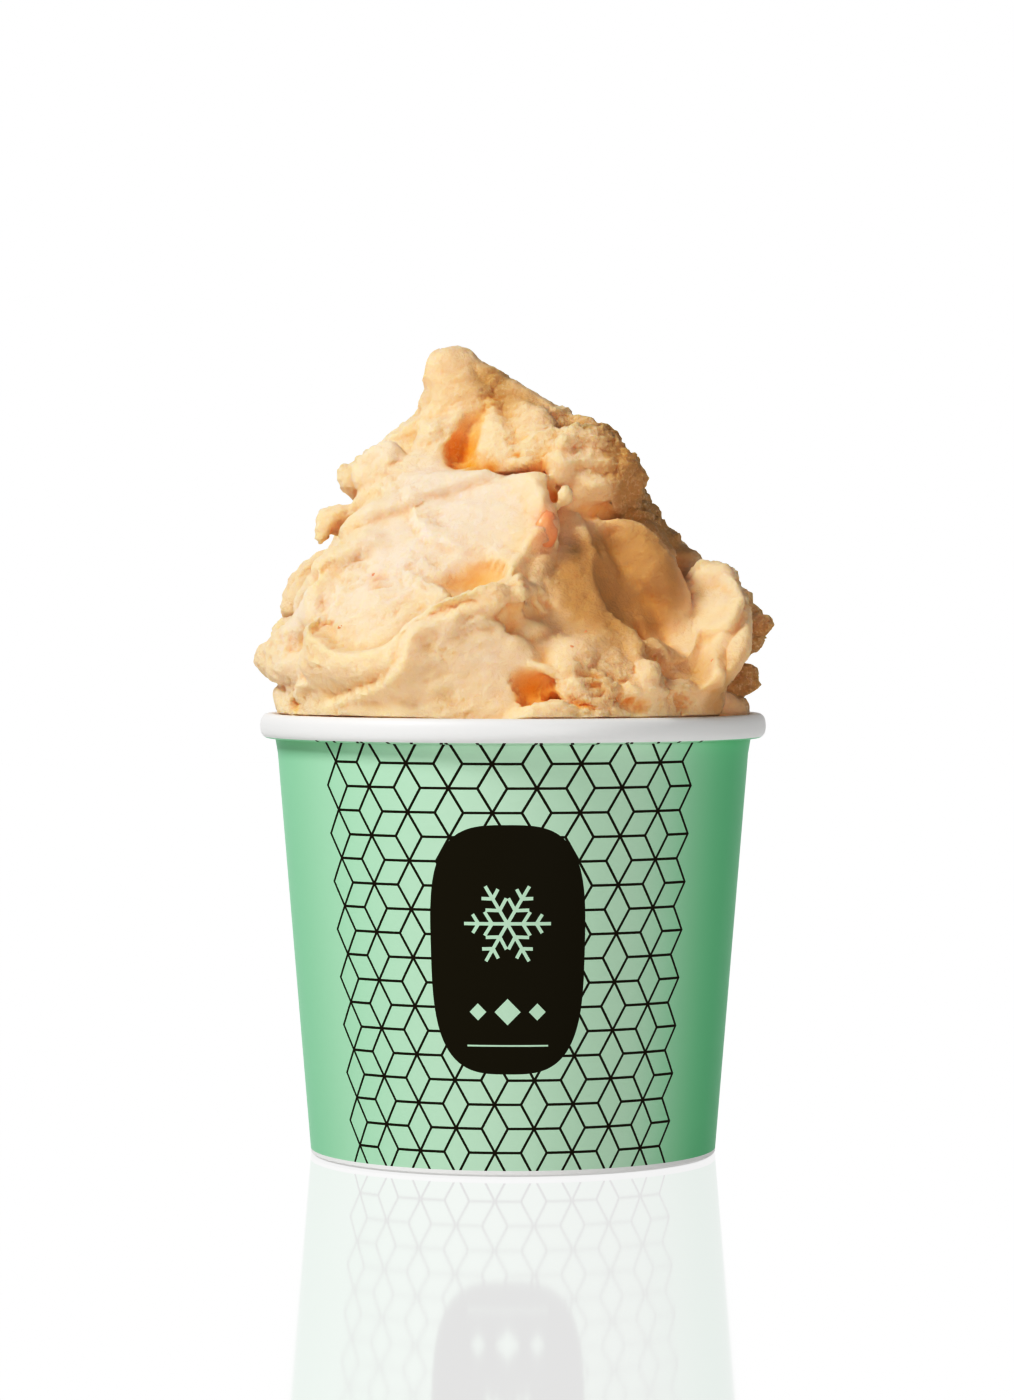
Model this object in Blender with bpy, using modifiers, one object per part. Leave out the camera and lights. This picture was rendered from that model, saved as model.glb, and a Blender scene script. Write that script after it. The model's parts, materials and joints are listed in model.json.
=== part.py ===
"""A paper tub heaped with apricot gelato, at its real size.

Metres, +Z up. The tub stands on z = 0 with its centre line on the Z axis, and -Y is its front.
"""
import itertools
import math
from typing import NamedTuple

import bmesh
import bpy
import numpy as np
from mathutils import Matrix, Vector
from mathutils.bvhtree import BVHTree

MM = 0.001

# The tub, in millimetres
RIM_RADIUS = 45.0
CUP_HEIGHT = 78.36
ROLL_WIDTH = 3.2
ROLL_HEIGHT = 4.4
ROLL_SQUARENESS = 2.4
BASE_RADIUS = 36.0
TAPER = 0.0824
PAPER = 0.45
GAP = 0.3
FOLD_HEIGHT = 5.5
FOOT_ROUND = 0.4
FLOOR_HEIGHT = 6.6
SKIRT_END = 1.0
ROUND_STEPS = 64
ROLL_STEPS = 12

# The gelato, in millimetres
VOXEL = 1.0
SMOOTHING_ROUNDS = 1
MOUND_TRIANGLES = 9900
ROUGH_SCALE = 0.13
ROUGH_HEIGHT = 1.5
ROUGH_OCTAVES = 3
ROUGH_PLACE = (7.0, 21.7, 11.9)
OVERHANG_RADIUS = 60.0
OVERHANG_RISE = 1.9
STROKE_STEP = 1.0
STROKE_REACH = 3.0
SOFT_EDGE = 0.8

CUBE_EDGES = np.array([edge for edge in itertools.product((-1, 0, 1), repeat=3)
                       if sum(map(abs, edge)) == 2], float)

GELATO_COLOUR = (0.93, 0.72, 0.42, 1.0)
PAPER_COLOUR = (0.36, 0.72, 0.50, 1.0)
BOARD_COLOUR = (0.90, 0.90, 0.88, 1.0)


class Fold(NamedTuple):
    """One smear of gelato: a rounded body drawn out along a curve through three points."""

    name: str
    start: tuple
    middle: tuple
    end: tuple
    half_widths: tuple
    thickness: float
    face: tuple
    section: tuple
    bluntness: float


class Stroke(NamedTuple):
    """A mark of the spatula, drawn on the surface as seen from an azimuth, in (across, height)."""

    kind: str
    path: tuple
    width: float
    height: float
    azimuth: float = 0.0


# A section's two powers shape its width and its thickness: 1 is round, less is boxy, more is sharp
ROUND = (1.0, 1.0)
BOXY = (0.7, 0.7)
PLATE = (0.55, 0.8)
LEAF = (0.8, 1.1)

PEAK = (
    Fold("core", (0, 5, 58), (0, 5, 86), (1, 5, 118), (41, 36, 14), 0.93, (0, -1, 0), ROUND, 2.6),
    Fold("peak", (2, 4, 112), (-6.8, 3, 127), (-11.5, 0, 143.4), (13, 8.4, 6.0), 0.85,
         (0.2, -1, 0.1), BOXY, 3.6),
    Fold("peak_flank", (-8, 0, 138.2), (0, 1, 131.2), (9, 3, 117), (4.2, 5.2, 7.0), 0.8,
         (0.5, -0.8, 0.6), BOXY, 2.8),
    Fold("left_shoulder", (-5, 1, 126.5), (-15.8, 0, 122.3), (-31.4, -2, 119.4), (7, 7.4, 4.1), 0.9,
         (-0.2, -0.8, 0.5), BOXY, 3.0),
    Fold("shoulder_face", (-10, -3, 123), (-17, -5, 117), (-27, -8, 110), (5, 7, 5.5), 0.8,
         (-0.3, -0.8, 0.5), BOXY, 3.0),
    Fold("right_lump", (7, -9, 119.5), (13.8, -9, 120.0), (21.5, -5, 115.2), (6.8, 7.6, 6), 0.9,
         (0.1, -1, 0.1), BOXY, 3.0),
    Fold("right_lump_top", (9, -4, 127.6), (13.2, -4, 128.2), (18, -3, 122), (3.5, 3.9, 4.2), 0.9,
         (0, -1, 0), ROUND, 2.8),
    Fold("right_back_flank", (13, 3, 122), (18.8, 3, 112), (25, 2, 99), (7, 6.5, 7), 1.0,
         (0.7, -0.7, 0), BOXY, 2.8),
    Fold("lump_fill", (0, -8, 108), (9, -11, 109), (16, -9, 104), (6, 7, 6), 0.9,
         (0, -1, 0), ROUND, 2.6),
)

FRONT = (
    Fold("slab", (-3, -13, 119), (-15, -19, 104), (-33, -22, 87), (10.5, 17, 15), 0.42,
         (-0.4, -0.77, 0.49), PLATE, 4.5),
    Fold("slab_edge", (-17, -13, 117.2), (-6, -16.5, 117.4), (5.2, -18, 116.6), (2.6, 3, 3.2), 1.0,
         (0, -0.8, 0.6), BOXY, 5.0),
    Fold("ridge", (4.3, -18, 117), (4.5, -28, 107), (3, -35, 97), (3, 4.5, 4.5), 0.8,
         (-0.2, -1, 0.3), BOXY, 3.0),
    Fold("lip", (-14, -31, 99), (-3, -35, 98.6), (7, -33, 103), (2.6, 3.6, 3), 0.8,
         (0, -1, 0), BOXY, 2.8),
    Fold("slope", (7, -14, 115), (12, -25, 99), (17, -33, 80), (5, 8.5, 12), 0.55,
         (0.6, -0.75, 0.25), BOXY, 3.4),
    Fold("front_sheet", (2, -34, 94), (-8, -37, 85), (-22, -34, 77), (7, 11, 9), 0.4,
         (-0.1, -1, 0.25), (0.6, 0.9), 4.0),
    Fold("front_low", (-26, -30, 76), (0, -41, 75), (26, -32, 75), (5, 7, 6), 0.7,
         (0, -1, 0.1), BOXY, 3.6),
    Fold("front_fill", (-20, -25, 86), (2, -33, 85), (20, -26, 86), (7, 9, 7), 0.7,
         (0, -1, 0), ROUND, 2.6),
    Fold("left_sheet", (-17, -18, 99), (-30, -17, 90), (-37, -10, 80), (13, 13, 12), 0.5,
         (-0.65, -0.65, 0.4), BOXY, 3.6),
    Fold("fruit_bit", (6.2, -23, 113.5), (6.3, -25.5, 112), (6, -27.5, 110.4), (1.3, 1.5, 1.2), 0.8,
         (0, -1, 0), ROUND, 2.6),
)

RIGHT_SIDE = (
    Fold("banana", (10, -14, 110.5), (20.5, -17, 105), (29.5, -16, 92), (4.5, 7.8, 6.4), 0.7,
         (0.25, -0.9, 0.35), BOXY, 3.0),
    Fold("right_petal", (31, -4, 103), (35, -14, 92.5), (27, -32, 77), (7.0, 8.5, 9), 0.28,
         (-0.55, -0.8, 0.25), LEAF, 3.6),
    Fold("petal_root", (26, -12, 96), (28, -18, 86), (24, -28, 74), (9, 10, 9), 0.7,
         (0.4, -0.9, 0.2), ROUND, 3.0),
    Fold("right_lobe_high", (36, 6, 99), (40.6, 4, 94), (41, 0, 90), (5, 4.6, 4), 0.9,
         (1, -0.5, 0), ROUND, 2.8),
    Fold("right_lobe_knob", (40, 0, 93), (44, -1, 94), (46.2, -1, 93.6), (2.5, 2.4, 1.6), 0.9,
         (0, -1, 0), ROUND, 2.6),
    Fold("right_lobe_low", (35, 2, 82), (40, 0, 83.6), (43.6, -1, 83.6), (4.5, 3.8, 2.4), 0.9,
         (0, -1, 0), ROUND, 2.8),
    Fold("right_lobe_rim", (30, -6, 80), (37.5, -6, 78.6), (40.5, -4, 80), (5, 4, 2.6), 0.9,
         (0, -1, 0), ROUND, 2.8),
    Fold("right_side", (15, 5, 115), (29, 9, 100), (35, 9, 81), (8, 11, 12), 0.55,
         (0.95, 0.1, 0.3), BOXY, 3.2),
    Fold("knob", (24.3, -33, 80), (24.3, -33, 84), (24.3, -33, 87.5), (2.6, 2.6, 2.4), 1.0,
         (0, -1, 0), ROUND, 2.4),
    Fold("knob_fold", (23, -34, 87), (28, -34, 83), (33, -29, 77), (1.6, 2.2, 2), 0.8,
         (0, -1, 0), ROUND, 2.8),
)

LEFT_SIDE = (
    Fold("left_side", (-15, 7, 114), (-33, 7, 100), (-38, 8, 81), (8, 11, 12), 0.55,
         (-0.9, -0.2, 0.4), BOXY, 3.2),
    Fold("left_facet", (-28, 0, 103), (-34.5, 0, 101), (-37.5, 2, 94), (6, 5.4, 5.5), 0.9,
         (-0.7, -0.7, 0.2), BOXY, 3.4),
    Fold("left_roll_high", (-25, -26, 95), (-37, -15, 94.3), (-43.5, -3, 91), (3.6, 3.9, 3.2), 0.9,
         (-0.5, -0.8, 0.2), ROUND, 3.0),
    Fold("left_roll_low", (-28, -28, 85), (-39, -16, 86.5), (-44.6, -2, 87), (4, 3.8, 3.6), 0.9,
         (-0.5, -0.8, 0), ROUND, 3.0),
    Fold("left_base", (-29, -29, 79), (-37.5, -15, 80), (-41, -1, 80.5), (4, 4, 3.4), 0.9,
         (-0.7, -0.7, 0), ROUND, 3.0),
    Fold("curl", (-24, -7, 108.6), (-32.6, -9, 112.2), (-34.5, -10, 107.2), (4.5, 2.7, 1.9), 0.8,
         (-0.3, -0.9, 0.2), ROUND, 2.6),
)

BACK = (
    Fold("back_high", (14, 10, 122), (4, 16, 114), (-12, 17, 104), (7, 9, 8), 0.7,
         (0.2, 0.8, 0.5), BOXY, 3.2),
    Fold("back_right", (24, 10, 110), (27, 22, 98), (12, 33, 88), (7, 9, 9), 0.55,
         (0.6, 0.7, 0.3), BOXY, 3.2),
    Fold("back_left", (-12, 12, 119), (-24, 18, 108), (-30, 22, 94), (7, 9, 9), 0.6,
         (-0.5, 0.7, 0.5), BOXY, 3.2),
    Fold("back_mid", (16, 25, 103), (-2, 31, 99), (-22, 26, 96), (6, 8, 7), 0.6,
         (0, 0.9, 0.5), BOXY, 3.2),
    Fold("back_skirt", (38, 12, 84), (18, 36, 86), (-10, 38.5, 81), (6, 7.5, 7), 0.7,
         (0.3, 0.9, 0.2), ROUND, 3.2),
    Fold("back_skirt_left", (4, 39, 79), (-24, 32, 85), (-40, 10, 83), (6, 7.5, 6), 0.7,
         (-0.5, 0.9, 0.2), ROUND, 3.2),
    Fold("back_petal", (-14, 30, 104), (-30, 24, 95), (-38, 14, 86), (6, 8, 7), 0.35,
         (-0.6, 0.7, 0.3), BOXY, 3.2),
)

HOLLOWS = (
    Fold("peak_hollow", (-5, -9, 138), (-4.5, -11.5, 127), (-3.5, -14, 117), (0.8, 6.8, 8.5), 1.0,
         (0, -1, 0), ROUND, 2.4),
    Fold("under_lump", (6, -20, 113.5), (15, -19, 113.5), (24, -14, 117), (2.5, 3.2, 2.2), 1.0,
         (0, -1, 0), ROUND, 2.6),
    Fold("rim_hole", (-1, -42, 84.5), (3, -42, 82), (8, -41, 80), (2.6, 3.4, 2.4), 1.0,
         (0, -1, 0), ROUND, 2.6),
)

STROKES = (
    Stroke("step", ((7.5, 104), (6.3, 99), (-2.4, 97), (-12, 94), (-17, 91.5), (-19, 86),
                    (-20.5, 82), (-27, 80.3), (-35, 79.6)), 6.0, 1.6),
    Stroke("groove", ((9, 116), (12.5, 108), (16, 100), (20, 94), (24.5, 88), (29, 82)), 2.2, 1.8),
    Stroke("step", ((30, 95), (31, 99), (29, 105), (24, 110), (19, 113), (13, 112.5)), 4.0, 1.0),
    Stroke("groove", ((12, 110), (15, 103), (20, 96), (25, 91), (30, 90)), 2.0, 2.0),
    Stroke("groove", ((-44, 92.5), (-39, 93.5), (-33, 97)), 1.6, 1.4),
    Stroke("dent", ((-12.5, 101), (-6, 101.5), (0, 102)), 3.4, 2.6),
)


def wall_radius(height):
    """Outer radius of the tub's sloping wall at a height."""
    return BASE_RADIUS + TAPER * height


def roll_outline(spread=0.0):
    """The rolled rim's oval, from where it leaves the wall, out, up and over to the inside."""
    half_width = ROLL_WIDTH / 2 + spread
    half_height = ROLL_HEIGHT / 2 + spread
    centre_radius = RIM_RADIUS - ROLL_WIDTH / 2
    centre_height = CUP_HEIGHT - ROLL_HEIGHT / 2
    outline = []
    for step in range(ROLL_STEPS + 1):
        angle = math.radians(-125 + 305 * step / ROLL_STEPS)
        across = math.copysign(abs(math.cos(angle)) ** (2 / ROLL_SQUARENESS), math.cos(angle))
        up = math.copysign(abs(math.sin(angle)) ** (2 / ROLL_SQUARENESS), math.sin(angle))
        outline.append((centre_radius + half_width * across, centre_height + half_height * up))
    return outline


def apply_modifiers(item):
    """Replace an object's mesh by what its modifiers make of it."""
    depsgraph = bpy.context.evaluated_depsgraph_get()
    depsgraph.update()
    made = bpy.data.meshes.new_from_object(item.evaluated_get(depsgraph), depsgraph=depsgraph)
    raw = item.data
    item.modifiers.clear()
    item.data = made
    bpy.data.meshes.remove(raw)


def add_object(name, mesh, collection):
    item = bpy.data.objects.new(name, mesh)
    collection.objects.link(item)
    return item


def turned(name, outline, collection, closed=True):
    """A solid turned about Z from (radius, height) points that run down its outer side."""
    points = [(radius * MM, 0.0, height * MM) for radius, height in outline]
    edges = [(index, index + 1) for index in range(len(points) - 1)]
    if closed:
        edges.append((len(points) - 1, 0))
    mesh = bpy.data.meshes.new(name)
    mesh.from_pydata(points, edges, [])
    item = add_object(name, mesh, collection)
    screw = item.modifiers.new("turn", "SCREW")
    screw.axis = "Z"
    screw.angle = math.tau
    screw.steps = ROUND_STEPS
    screw.render_steps = ROUND_STEPS
    screw.use_merge_vertices = True
    screw.merge_threshold = 0.00001
    apply_modifiers(item)
    return item


def material(name, colour, roughness):
    made = bpy.data.materials.new(name)
    made.use_nodes = True
    shader = made.node_tree.nodes["Principled BSDF"]
    shader.inputs["Base Color"].default_value = colour
    shader.inputs["Roughness"].default_value = roughness
    shader.inputs["Metallic"].default_value = 0.0
    return made


def cup_wall(collection):
    """The side wall in one sheet: rolled out at the rim, and folded in and up round the base."""
    lip_outer = BASE_RADIUS - PAPER - 2 * GAP - PAPER
    outer_foot = wall_radius(FOOT_ROUND)
    outline = [
        (outer_foot, FOOT_ROUND),
        (BASE_RADIUS - FOOT_ROUND, 0.0),
        (lip_outer - PAPER + FOOT_ROUND, 0.0),
        (lip_outer - PAPER, FOOT_ROUND),
        (lip_outer - PAPER + TAPER * FOLD_HEIGHT, FOLD_HEIGHT),
        (lip_outer + TAPER * FOLD_HEIGHT, FOLD_HEIGHT),
        (lip_outer + TAPER * PAPER, PAPER),
        (wall_radius(PAPER) - PAPER, PAPER),
    ]
    rim = roll_outline()
    inner_top = rim[-1]
    outline.append((inner_top[0], inner_top[1]))
    outline.extend(reversed(rim[:-1]))
    item = turned("cup_wall", outline, collection)
    item.data.materials.append(material("mint_paper", PAPER_COLOUR, 0.35))
    return item


def cup_base(collection):
    """The bottom disc, its edge turned down into the wall's fold."""
    def skirt_radius(height):
        return wall_radius(height) - PAPER - GAP
    top = FLOOR_HEIGHT
    outline = [
        (0.0, top),
        (skirt_radius(top) - PAPER, top),
        (skirt_radius(top - PAPER), top - PAPER),
        (skirt_radius(SKIRT_END), SKIRT_END),
        (skirt_radius(SKIRT_END) - PAPER, SKIRT_END),
        (skirt_radius(top - PAPER) - PAPER, top - PAPER),
        (0.0, top - PAPER),
    ]
    item = turned("cup_base", outline, collection, closed=False)
    item.data.materials.append(material("white_board", BOARD_COLOUR, 0.6))
    return item


def curve_points(fold, place):
    """Points of a fold's middle line, a parabola through its three points, and its directions."""
    start, middle, end = (np.array(point, float) for point in (fold.start, fold.middle, fold.end))
    bend = 2 * middle - (start + end) / 2
    place = place[:, None]
    points = (1 - place) ** 2 * start + 2 * place * (1 - place) * bend + place ** 2 * end
    along = (1 - place) * (bend - start) + place * (end - bend)
    return points, along / np.linalg.norm(along, axis=1, keepdims=True)


def signed_power(values, power):
    return np.sign(values) * np.abs(values) ** power


def fold_mesh(fold, sides=36, rings=24):
    """A unit sphere bent along the fold's middle line and given its widths and section."""
    shape = bmesh.new()
    bmesh.ops.create_uvsphere(shape, u_segments=sides, v_segments=rings, radius=1)
    sphere = np.array([vertex.co for vertex in shape.verts])
    height = np.clip(sphere[:, 2], -1, 1)
    angle = np.arctan2(sphere[:, 1], sphere[:, 0])
    place = (1 + height) / 2
    first, second, third = fold.half_widths
    bulge = 2 * second - (first + third) / 2
    width = (1 - place) ** 2 * first + 2 * place * (1 - place) * bulge + place ** 2 * third
    width *= (1 - np.abs(height) ** fold.bluntness) ** (1 / fold.bluntness)
    points, along = curve_points(fold, place)
    outward = np.array(fold.face, float)
    outward = outward - (along @ outward)[:, None] * along
    outward /= np.linalg.norm(outward, axis=1, keepdims=True)
    sideways = np.cross(along, outward)
    across = width * signed_power(np.cos(angle), fold.section[0])
    through = width * fold.thickness * signed_power(np.sin(angle), fold.section[1])
    points = points + sideways * across[:, None] + outward * through[:, None]
    for vertex, point in zip(shape.verts, points):
        vertex.co = point
    bmesh.ops.recalc_face_normals(shape, faces=shape.faces)
    mesh = bpy.data.meshes.new(fold.name)
    shape.to_mesh(mesh)
    shape.free()
    return mesh


def gather(name, folds):
    """A collection that holds one object for each fold."""
    collection = bpy.data.collections.new(name)
    bpy.context.scene.collection.children.link(collection)
    for fold in folds:
        add_object(fold.name, fold_mesh(fold), collection)
    return collection


def discard(collection):
    for item in list(collection.objects):
        bpy.data.objects.remove(item)
    bpy.data.collections.remove(collection)


def boolean(item, operation, operand, solver="EXACT"):
    """Add a Boolean with an object or a whole collection."""
    modifier = item.modifiers.new(operation.lower(), "BOOLEAN")
    modifier.operation = operation
    modifier.solver = solver
    if isinstance(operand, bpy.types.Collection):
        modifier.operand_type = "COLLECTION"
        modifier.collection = operand
    else:
        modifier.object = operand


def keep_largest_shell(item):
    """Drop loose scraps and fill sealed hollows: only the shell with the most faces stays."""
    shape = bmesh.new()
    shape.from_mesh(item.data)
    waiting = set(shape.faces)
    shells = []
    while waiting:
        shell = {waiting.pop()}
        edge_of = list(shell)
        while edge_of:
            face = edge_of.pop()
            for edge in face.edges:
                for other in edge.link_faces:
                    if other in waiting:
                        waiting.discard(other)
                        shell.add(other)
                        edge_of.append(other)
        shells.append(shell)
    shells.sort(key=len)
    loose = [face for shell in shells[:-1] for face in shell]
    bmesh.ops.delete(shape, geom=loose, context="FACES")
    shape.to_mesh(item.data)
    shape.free()


def vertex_array(items, attribute):
    values = np.empty(len(items) * 3, np.float32)
    items.foreach_get(attribute, values)
    return values.reshape(-1, 3).astype(float)


def move_vertices(mesh, places):
    mesh.vertices.foreach_set("co", places.astype(np.float32).ravel())
    mesh.update()


def drop_on_surface(tree, stroke):
    """The stroke's path on the surface, with the surface's normals there."""
    corners = np.array(stroke.path, float)
    lengths = np.r_[0, np.cumsum(np.linalg.norm(np.diff(corners, axis=0), axis=1))]
    places = np.linspace(0, lengths[-1], max(8, int(lengths[-1] / STROKE_STEP)))
    turn = math.radians(stroke.azimuth)
    right = np.array((math.cos(turn), math.sin(turn), 0.0))
    ahead = np.array((-math.sin(turn), math.cos(turn), 0.0))
    points = []
    normals = []
    for place in places:
        across = np.interp(place, lengths, corners[:, 0])
        height = np.interp(place, lengths, corners[:, 1])
        origin = right * across - ahead * 2 * RIM_RADIUS + np.array((0.0, 0.0, height))
        hit, normal, _, _ = tree.ray_cast(Vector(origin), Vector(ahead))
        if hit is not None:
            points.append(hit)
            normals.append(normal)
    points = np.array(points)
    normals = np.array(normals)
    for _ in range(3):
        points[1:-1] = (points[:-2] + 2 * points[1:-1] + points[2:]) / 4
        normals[1:-1] = (normals[:-2] + 2 * normals[1:-1] + normals[2:]) / 4
    return points, normals / np.linalg.norm(normals, axis=1, keepdims=True)


def stroke_height(stroke, distance, side):
    """How far a stroke lifts the surface at a distance from its path; side is positive on the left."""
    fade = np.exp(-(distance / stroke.width) ** 2)
    if stroke.kind == "step":
        edge = np.clip(side / SOFT_EDGE, -1, 1)
        low = -0.5 * np.exp(-(distance / (0.6 * stroke.width)) ** 2)
        return stroke.height * np.where(side > -SOFT_EDGE, (0.25 + 0.75 * edge) * fade, low)
    if stroke.kind == "groove":
        return -stroke.height * np.exp(-(distance / stroke.width) ** 1.3)
    return -stroke.height * np.exp(-(distance / stroke.width) ** 3)


def draw_strokes(item, strokes):
    """Push the surface along its normals where the spatula's strokes pass."""
    tree = BVHTree.FromObject(item, bpy.context.evaluated_depsgraph_get())
    places = vertex_array(item.data.vertices, "co")
    normals = vertex_array(item.data.vertex_normals, "vector")
    lift = np.zeros(len(places))
    for stroke in strokes:
        path, path_normals = drop_on_surface(tree, stroke)
        along = np.gradient(path, axis=0)
        along /= np.linalg.norm(along, axis=1, keepdims=True)
        left = np.cross(path_normals, along)
        reach = stroke.width * STROKE_REACH
        low = path.min(axis=0) - reach
        high = path.max(axis=0) + reach
        near = np.flatnonzero(np.all((places > low) & (places < high), axis=1))
        offsets = places[near][:, None, :] - path[None, :, :]
        distances = np.linalg.norm(offsets, axis=2)
        nearest = distances.argmin(axis=1)
        rows = np.arange(len(near))
        side = np.einsum("ij,ij->i", offsets[rows, nearest], left[nearest])
        from_end = np.minimum(nearest, len(path) - 1 - nearest) / (0.15 * len(path))
        lift[near] += stroke_height(stroke, distances[rows, nearest], side) * np.minimum(1, from_end)
    move_vertices(item.data, places + normals * lift[:, None])


def lattice_noise(spots):
    """Smooth gradient noise, about -0.7 to 0.7, at each row of an array of points."""
    cells = np.floor(spots).astype(np.int64)
    local = spots - cells
    eased = local ** 3 * (local * (local * 6 - 15) + 10)
    total = np.zeros(len(spots))
    for corner in itertools.product((0, 1), repeat=3):
        corner = np.array(corner)
        knots = cells + corner
        mixed = knots[:, 0] * 73856093 ^ knots[:, 1] * 19349663 ^ knots[:, 2] * 83492791
        mixed = (mixed ^ mixed >> 13) * 1274126177 & 0xFFFFFFFF
        slopes = CUBE_EDGES[(mixed >> 15) % len(CUBE_EDGES)]
        weights = np.prod(np.where(corner, eased, 1 - eased), axis=1)
        total += weights * np.sum(slopes * (local - corner), axis=1)
    return total


def fractal_noise(spots, octaves):
    """Lattice noise summed at finer and finer scales."""
    return sum(lattice_noise(spots * 2.03 ** octave) * 0.55 ** octave for octave in range(octaves))


def roughen(item):
    """Break the surface up with noise: soft swells, and creases where a second noise changes sign."""
    places = vertex_array(item.data.vertices, "co")
    normals = vertex_array(item.data.vertex_normals, "vector")
    spots = places * ROUGH_SCALE + np.array(ROUGH_PLACE)
    swells = fractal_noise(spots, ROUGH_OCTAVES)
    creases = 0.25 - np.abs(fractal_noise(spots * 0.7 + 31.7, ROUGH_OCTAVES))
    lift = ROUGH_HEIGHT * (0.6 * swells - 0.5 * creases)
    move_vertices(item.data, places + normals * lift[:, None])


def mound(collection):
    """The heap of gelato: folds joined, hollows scooped out, worked over and thinned out."""
    folds = PEAK + FRONT + RIGHT_SIDE + LEFT_SIDE + BACK
    body = add_object("gelato", fold_mesh(folds[0], 64, 40), collection)
    others = gather("folds", folds[1:])
    scoops = gather("hollows", HOLLOWS)
    boolean(body, "UNION", others, "MANIFOLD")
    boolean(body, "DIFFERENCE", scoops, "MANIFOLD")
    remesh = body.modifiers.new("remesh", "REMESH")
    remesh.mode = "VOXEL"
    remesh.voxel_size = VOXEL
    smooth = body.modifiers.new("smooth", "SMOOTH")
    smooth.factor = 0.5
    smooth.iterations = SMOOTHING_ROUNDS
    apply_modifiers(body)
    keep_largest_shell(body)
    discard(others)
    discard(scoops)
    draw_strokes(body, STROKES)
    roughen(body)
    thin = body.modifiers.new("thin", "DECIMATE")
    thin.ratio = MOUND_TRIANGLES / (2 * len(body.data.polygons))
    apply_modifiers(body)
    body.data.transform(Matrix.Scale(MM, 4))
    return body


def gelato(collection):
    """The mound with the plug that fills the tub, cut clear of the paper."""
    body = mound(collection)
    floor = FLOOR_HEIGHT + GAP

    def plug_radius(height):
        return wall_radius(height) - PAPER - GAP
    rim = roll_outline(GAP)
    crest = max(rim, key=lambda point: point[1])
    inside_rim = rim[rim.index(crest):]
    inner_top = inside_rim[-1]
    plug_top = inner_top[1] + 1.0
    plug = turned("plug", [(0.0, plug_top), (plug_radius(plug_top) - 1.0, plug_top),
                           (plug_radius(floor), floor), (0.0, floor)], collection, closed=False)
    clearance = [
        (0.0, floor),
        (plug_radius(floor), floor),
        (plug_radius(inner_top[1]), inner_top[1]),
        *reversed(inside_rim[:-1]),
        (RIM_RADIUS + 1.0, crest[1] + OVERHANG_RISE),
        (OVERHANG_RADIUS, crest[1] + OVERHANG_RISE),
        (OVERHANG_RADIUS, -1.0),
        (0.0, -1.0),
    ]
    cutter = turned("clearance", clearance, collection, closed=False)
    boolean(body, "UNION", plug)
    boolean(body, "DIFFERENCE", cutter)
    apply_modifiers(body)
    keep_largest_shell(body)
    bpy.data.objects.remove(plug)
    bpy.data.objects.remove(cutter)
    body.data.materials.clear()
    body.data.materials.append(material("apricot_gelato", GELATO_COLOUR, 0.5))
    return body


def main():
    for item in list(bpy.data.objects):
        bpy.data.objects.remove(item)
    collection = bpy.data.collections.new("gelato_cup")
    bpy.context.scene.collection.children.link(collection)
    for make in (cup_wall, cup_base, gelato):
        item = make(collection)
        item.data.shade_smooth()
        item.data.set_sharp_from_angle(angle=math.radians(40))


if __name__ == "__main__":
    main()
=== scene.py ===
"""A gelato cup: a printed paper tub heaped with folded, peaked apricot gelato.

Sizes are in millimetres while a piece is shaped, and become metres when it is finished. The tub
stands on z = 0 with its centre line on the Z axis, and its printed front faces -Y.
"""
from __future__ import annotations

import itertools
import json
import logging
import math
import random
from dataclasses import dataclass
from enum import Enum

import bmesh
import bpy
import numpy as np
from mathutils import Matrix, Vector
from mathutils.bvhtree import BVHTree

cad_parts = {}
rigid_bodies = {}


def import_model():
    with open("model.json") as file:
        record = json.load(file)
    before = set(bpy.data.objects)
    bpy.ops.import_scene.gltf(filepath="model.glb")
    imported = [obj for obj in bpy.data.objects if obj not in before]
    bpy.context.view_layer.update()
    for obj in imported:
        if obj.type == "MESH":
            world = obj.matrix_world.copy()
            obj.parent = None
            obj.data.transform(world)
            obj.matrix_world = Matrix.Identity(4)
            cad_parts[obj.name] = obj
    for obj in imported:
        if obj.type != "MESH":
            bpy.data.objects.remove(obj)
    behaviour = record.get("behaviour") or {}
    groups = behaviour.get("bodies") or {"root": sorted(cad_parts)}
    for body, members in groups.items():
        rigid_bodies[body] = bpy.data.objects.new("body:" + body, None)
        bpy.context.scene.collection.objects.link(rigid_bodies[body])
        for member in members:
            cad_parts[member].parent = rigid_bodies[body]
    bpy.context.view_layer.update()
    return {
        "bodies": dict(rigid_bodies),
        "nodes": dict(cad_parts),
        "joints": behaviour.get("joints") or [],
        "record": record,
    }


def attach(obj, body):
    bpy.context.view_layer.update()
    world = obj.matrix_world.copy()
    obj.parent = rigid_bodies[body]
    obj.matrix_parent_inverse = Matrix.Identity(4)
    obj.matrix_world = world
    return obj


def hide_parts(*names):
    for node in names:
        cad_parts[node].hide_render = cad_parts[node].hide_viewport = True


MM = 0.001
Point = tuple[float, float, float]
Spot = tuple[float, float]
Colour = tuple[float, float, float, float]

LOG = logging.getLogger("gelato_cup")


class Section(Enum):
    """Powers that shape a fold's width and thickness: 1 is round, less is boxy, more is sharp."""

    ROUND = (1.0, 1.0)
    BOXY = (0.7, 0.7)
    PLATE = (0.55, 0.8)
    SHEET = (0.6, 0.9)
    LEAF = (0.8, 1.1)


class Mark(Enum):
    """What a spatula stroke does to the surface along its path."""

    STEP = "a sheet's edge, raised on the left of the path"
    GROOVE = "a crease"
    CREST = "a ridge"
    DENT = "a wide shallow hollow"


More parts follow.
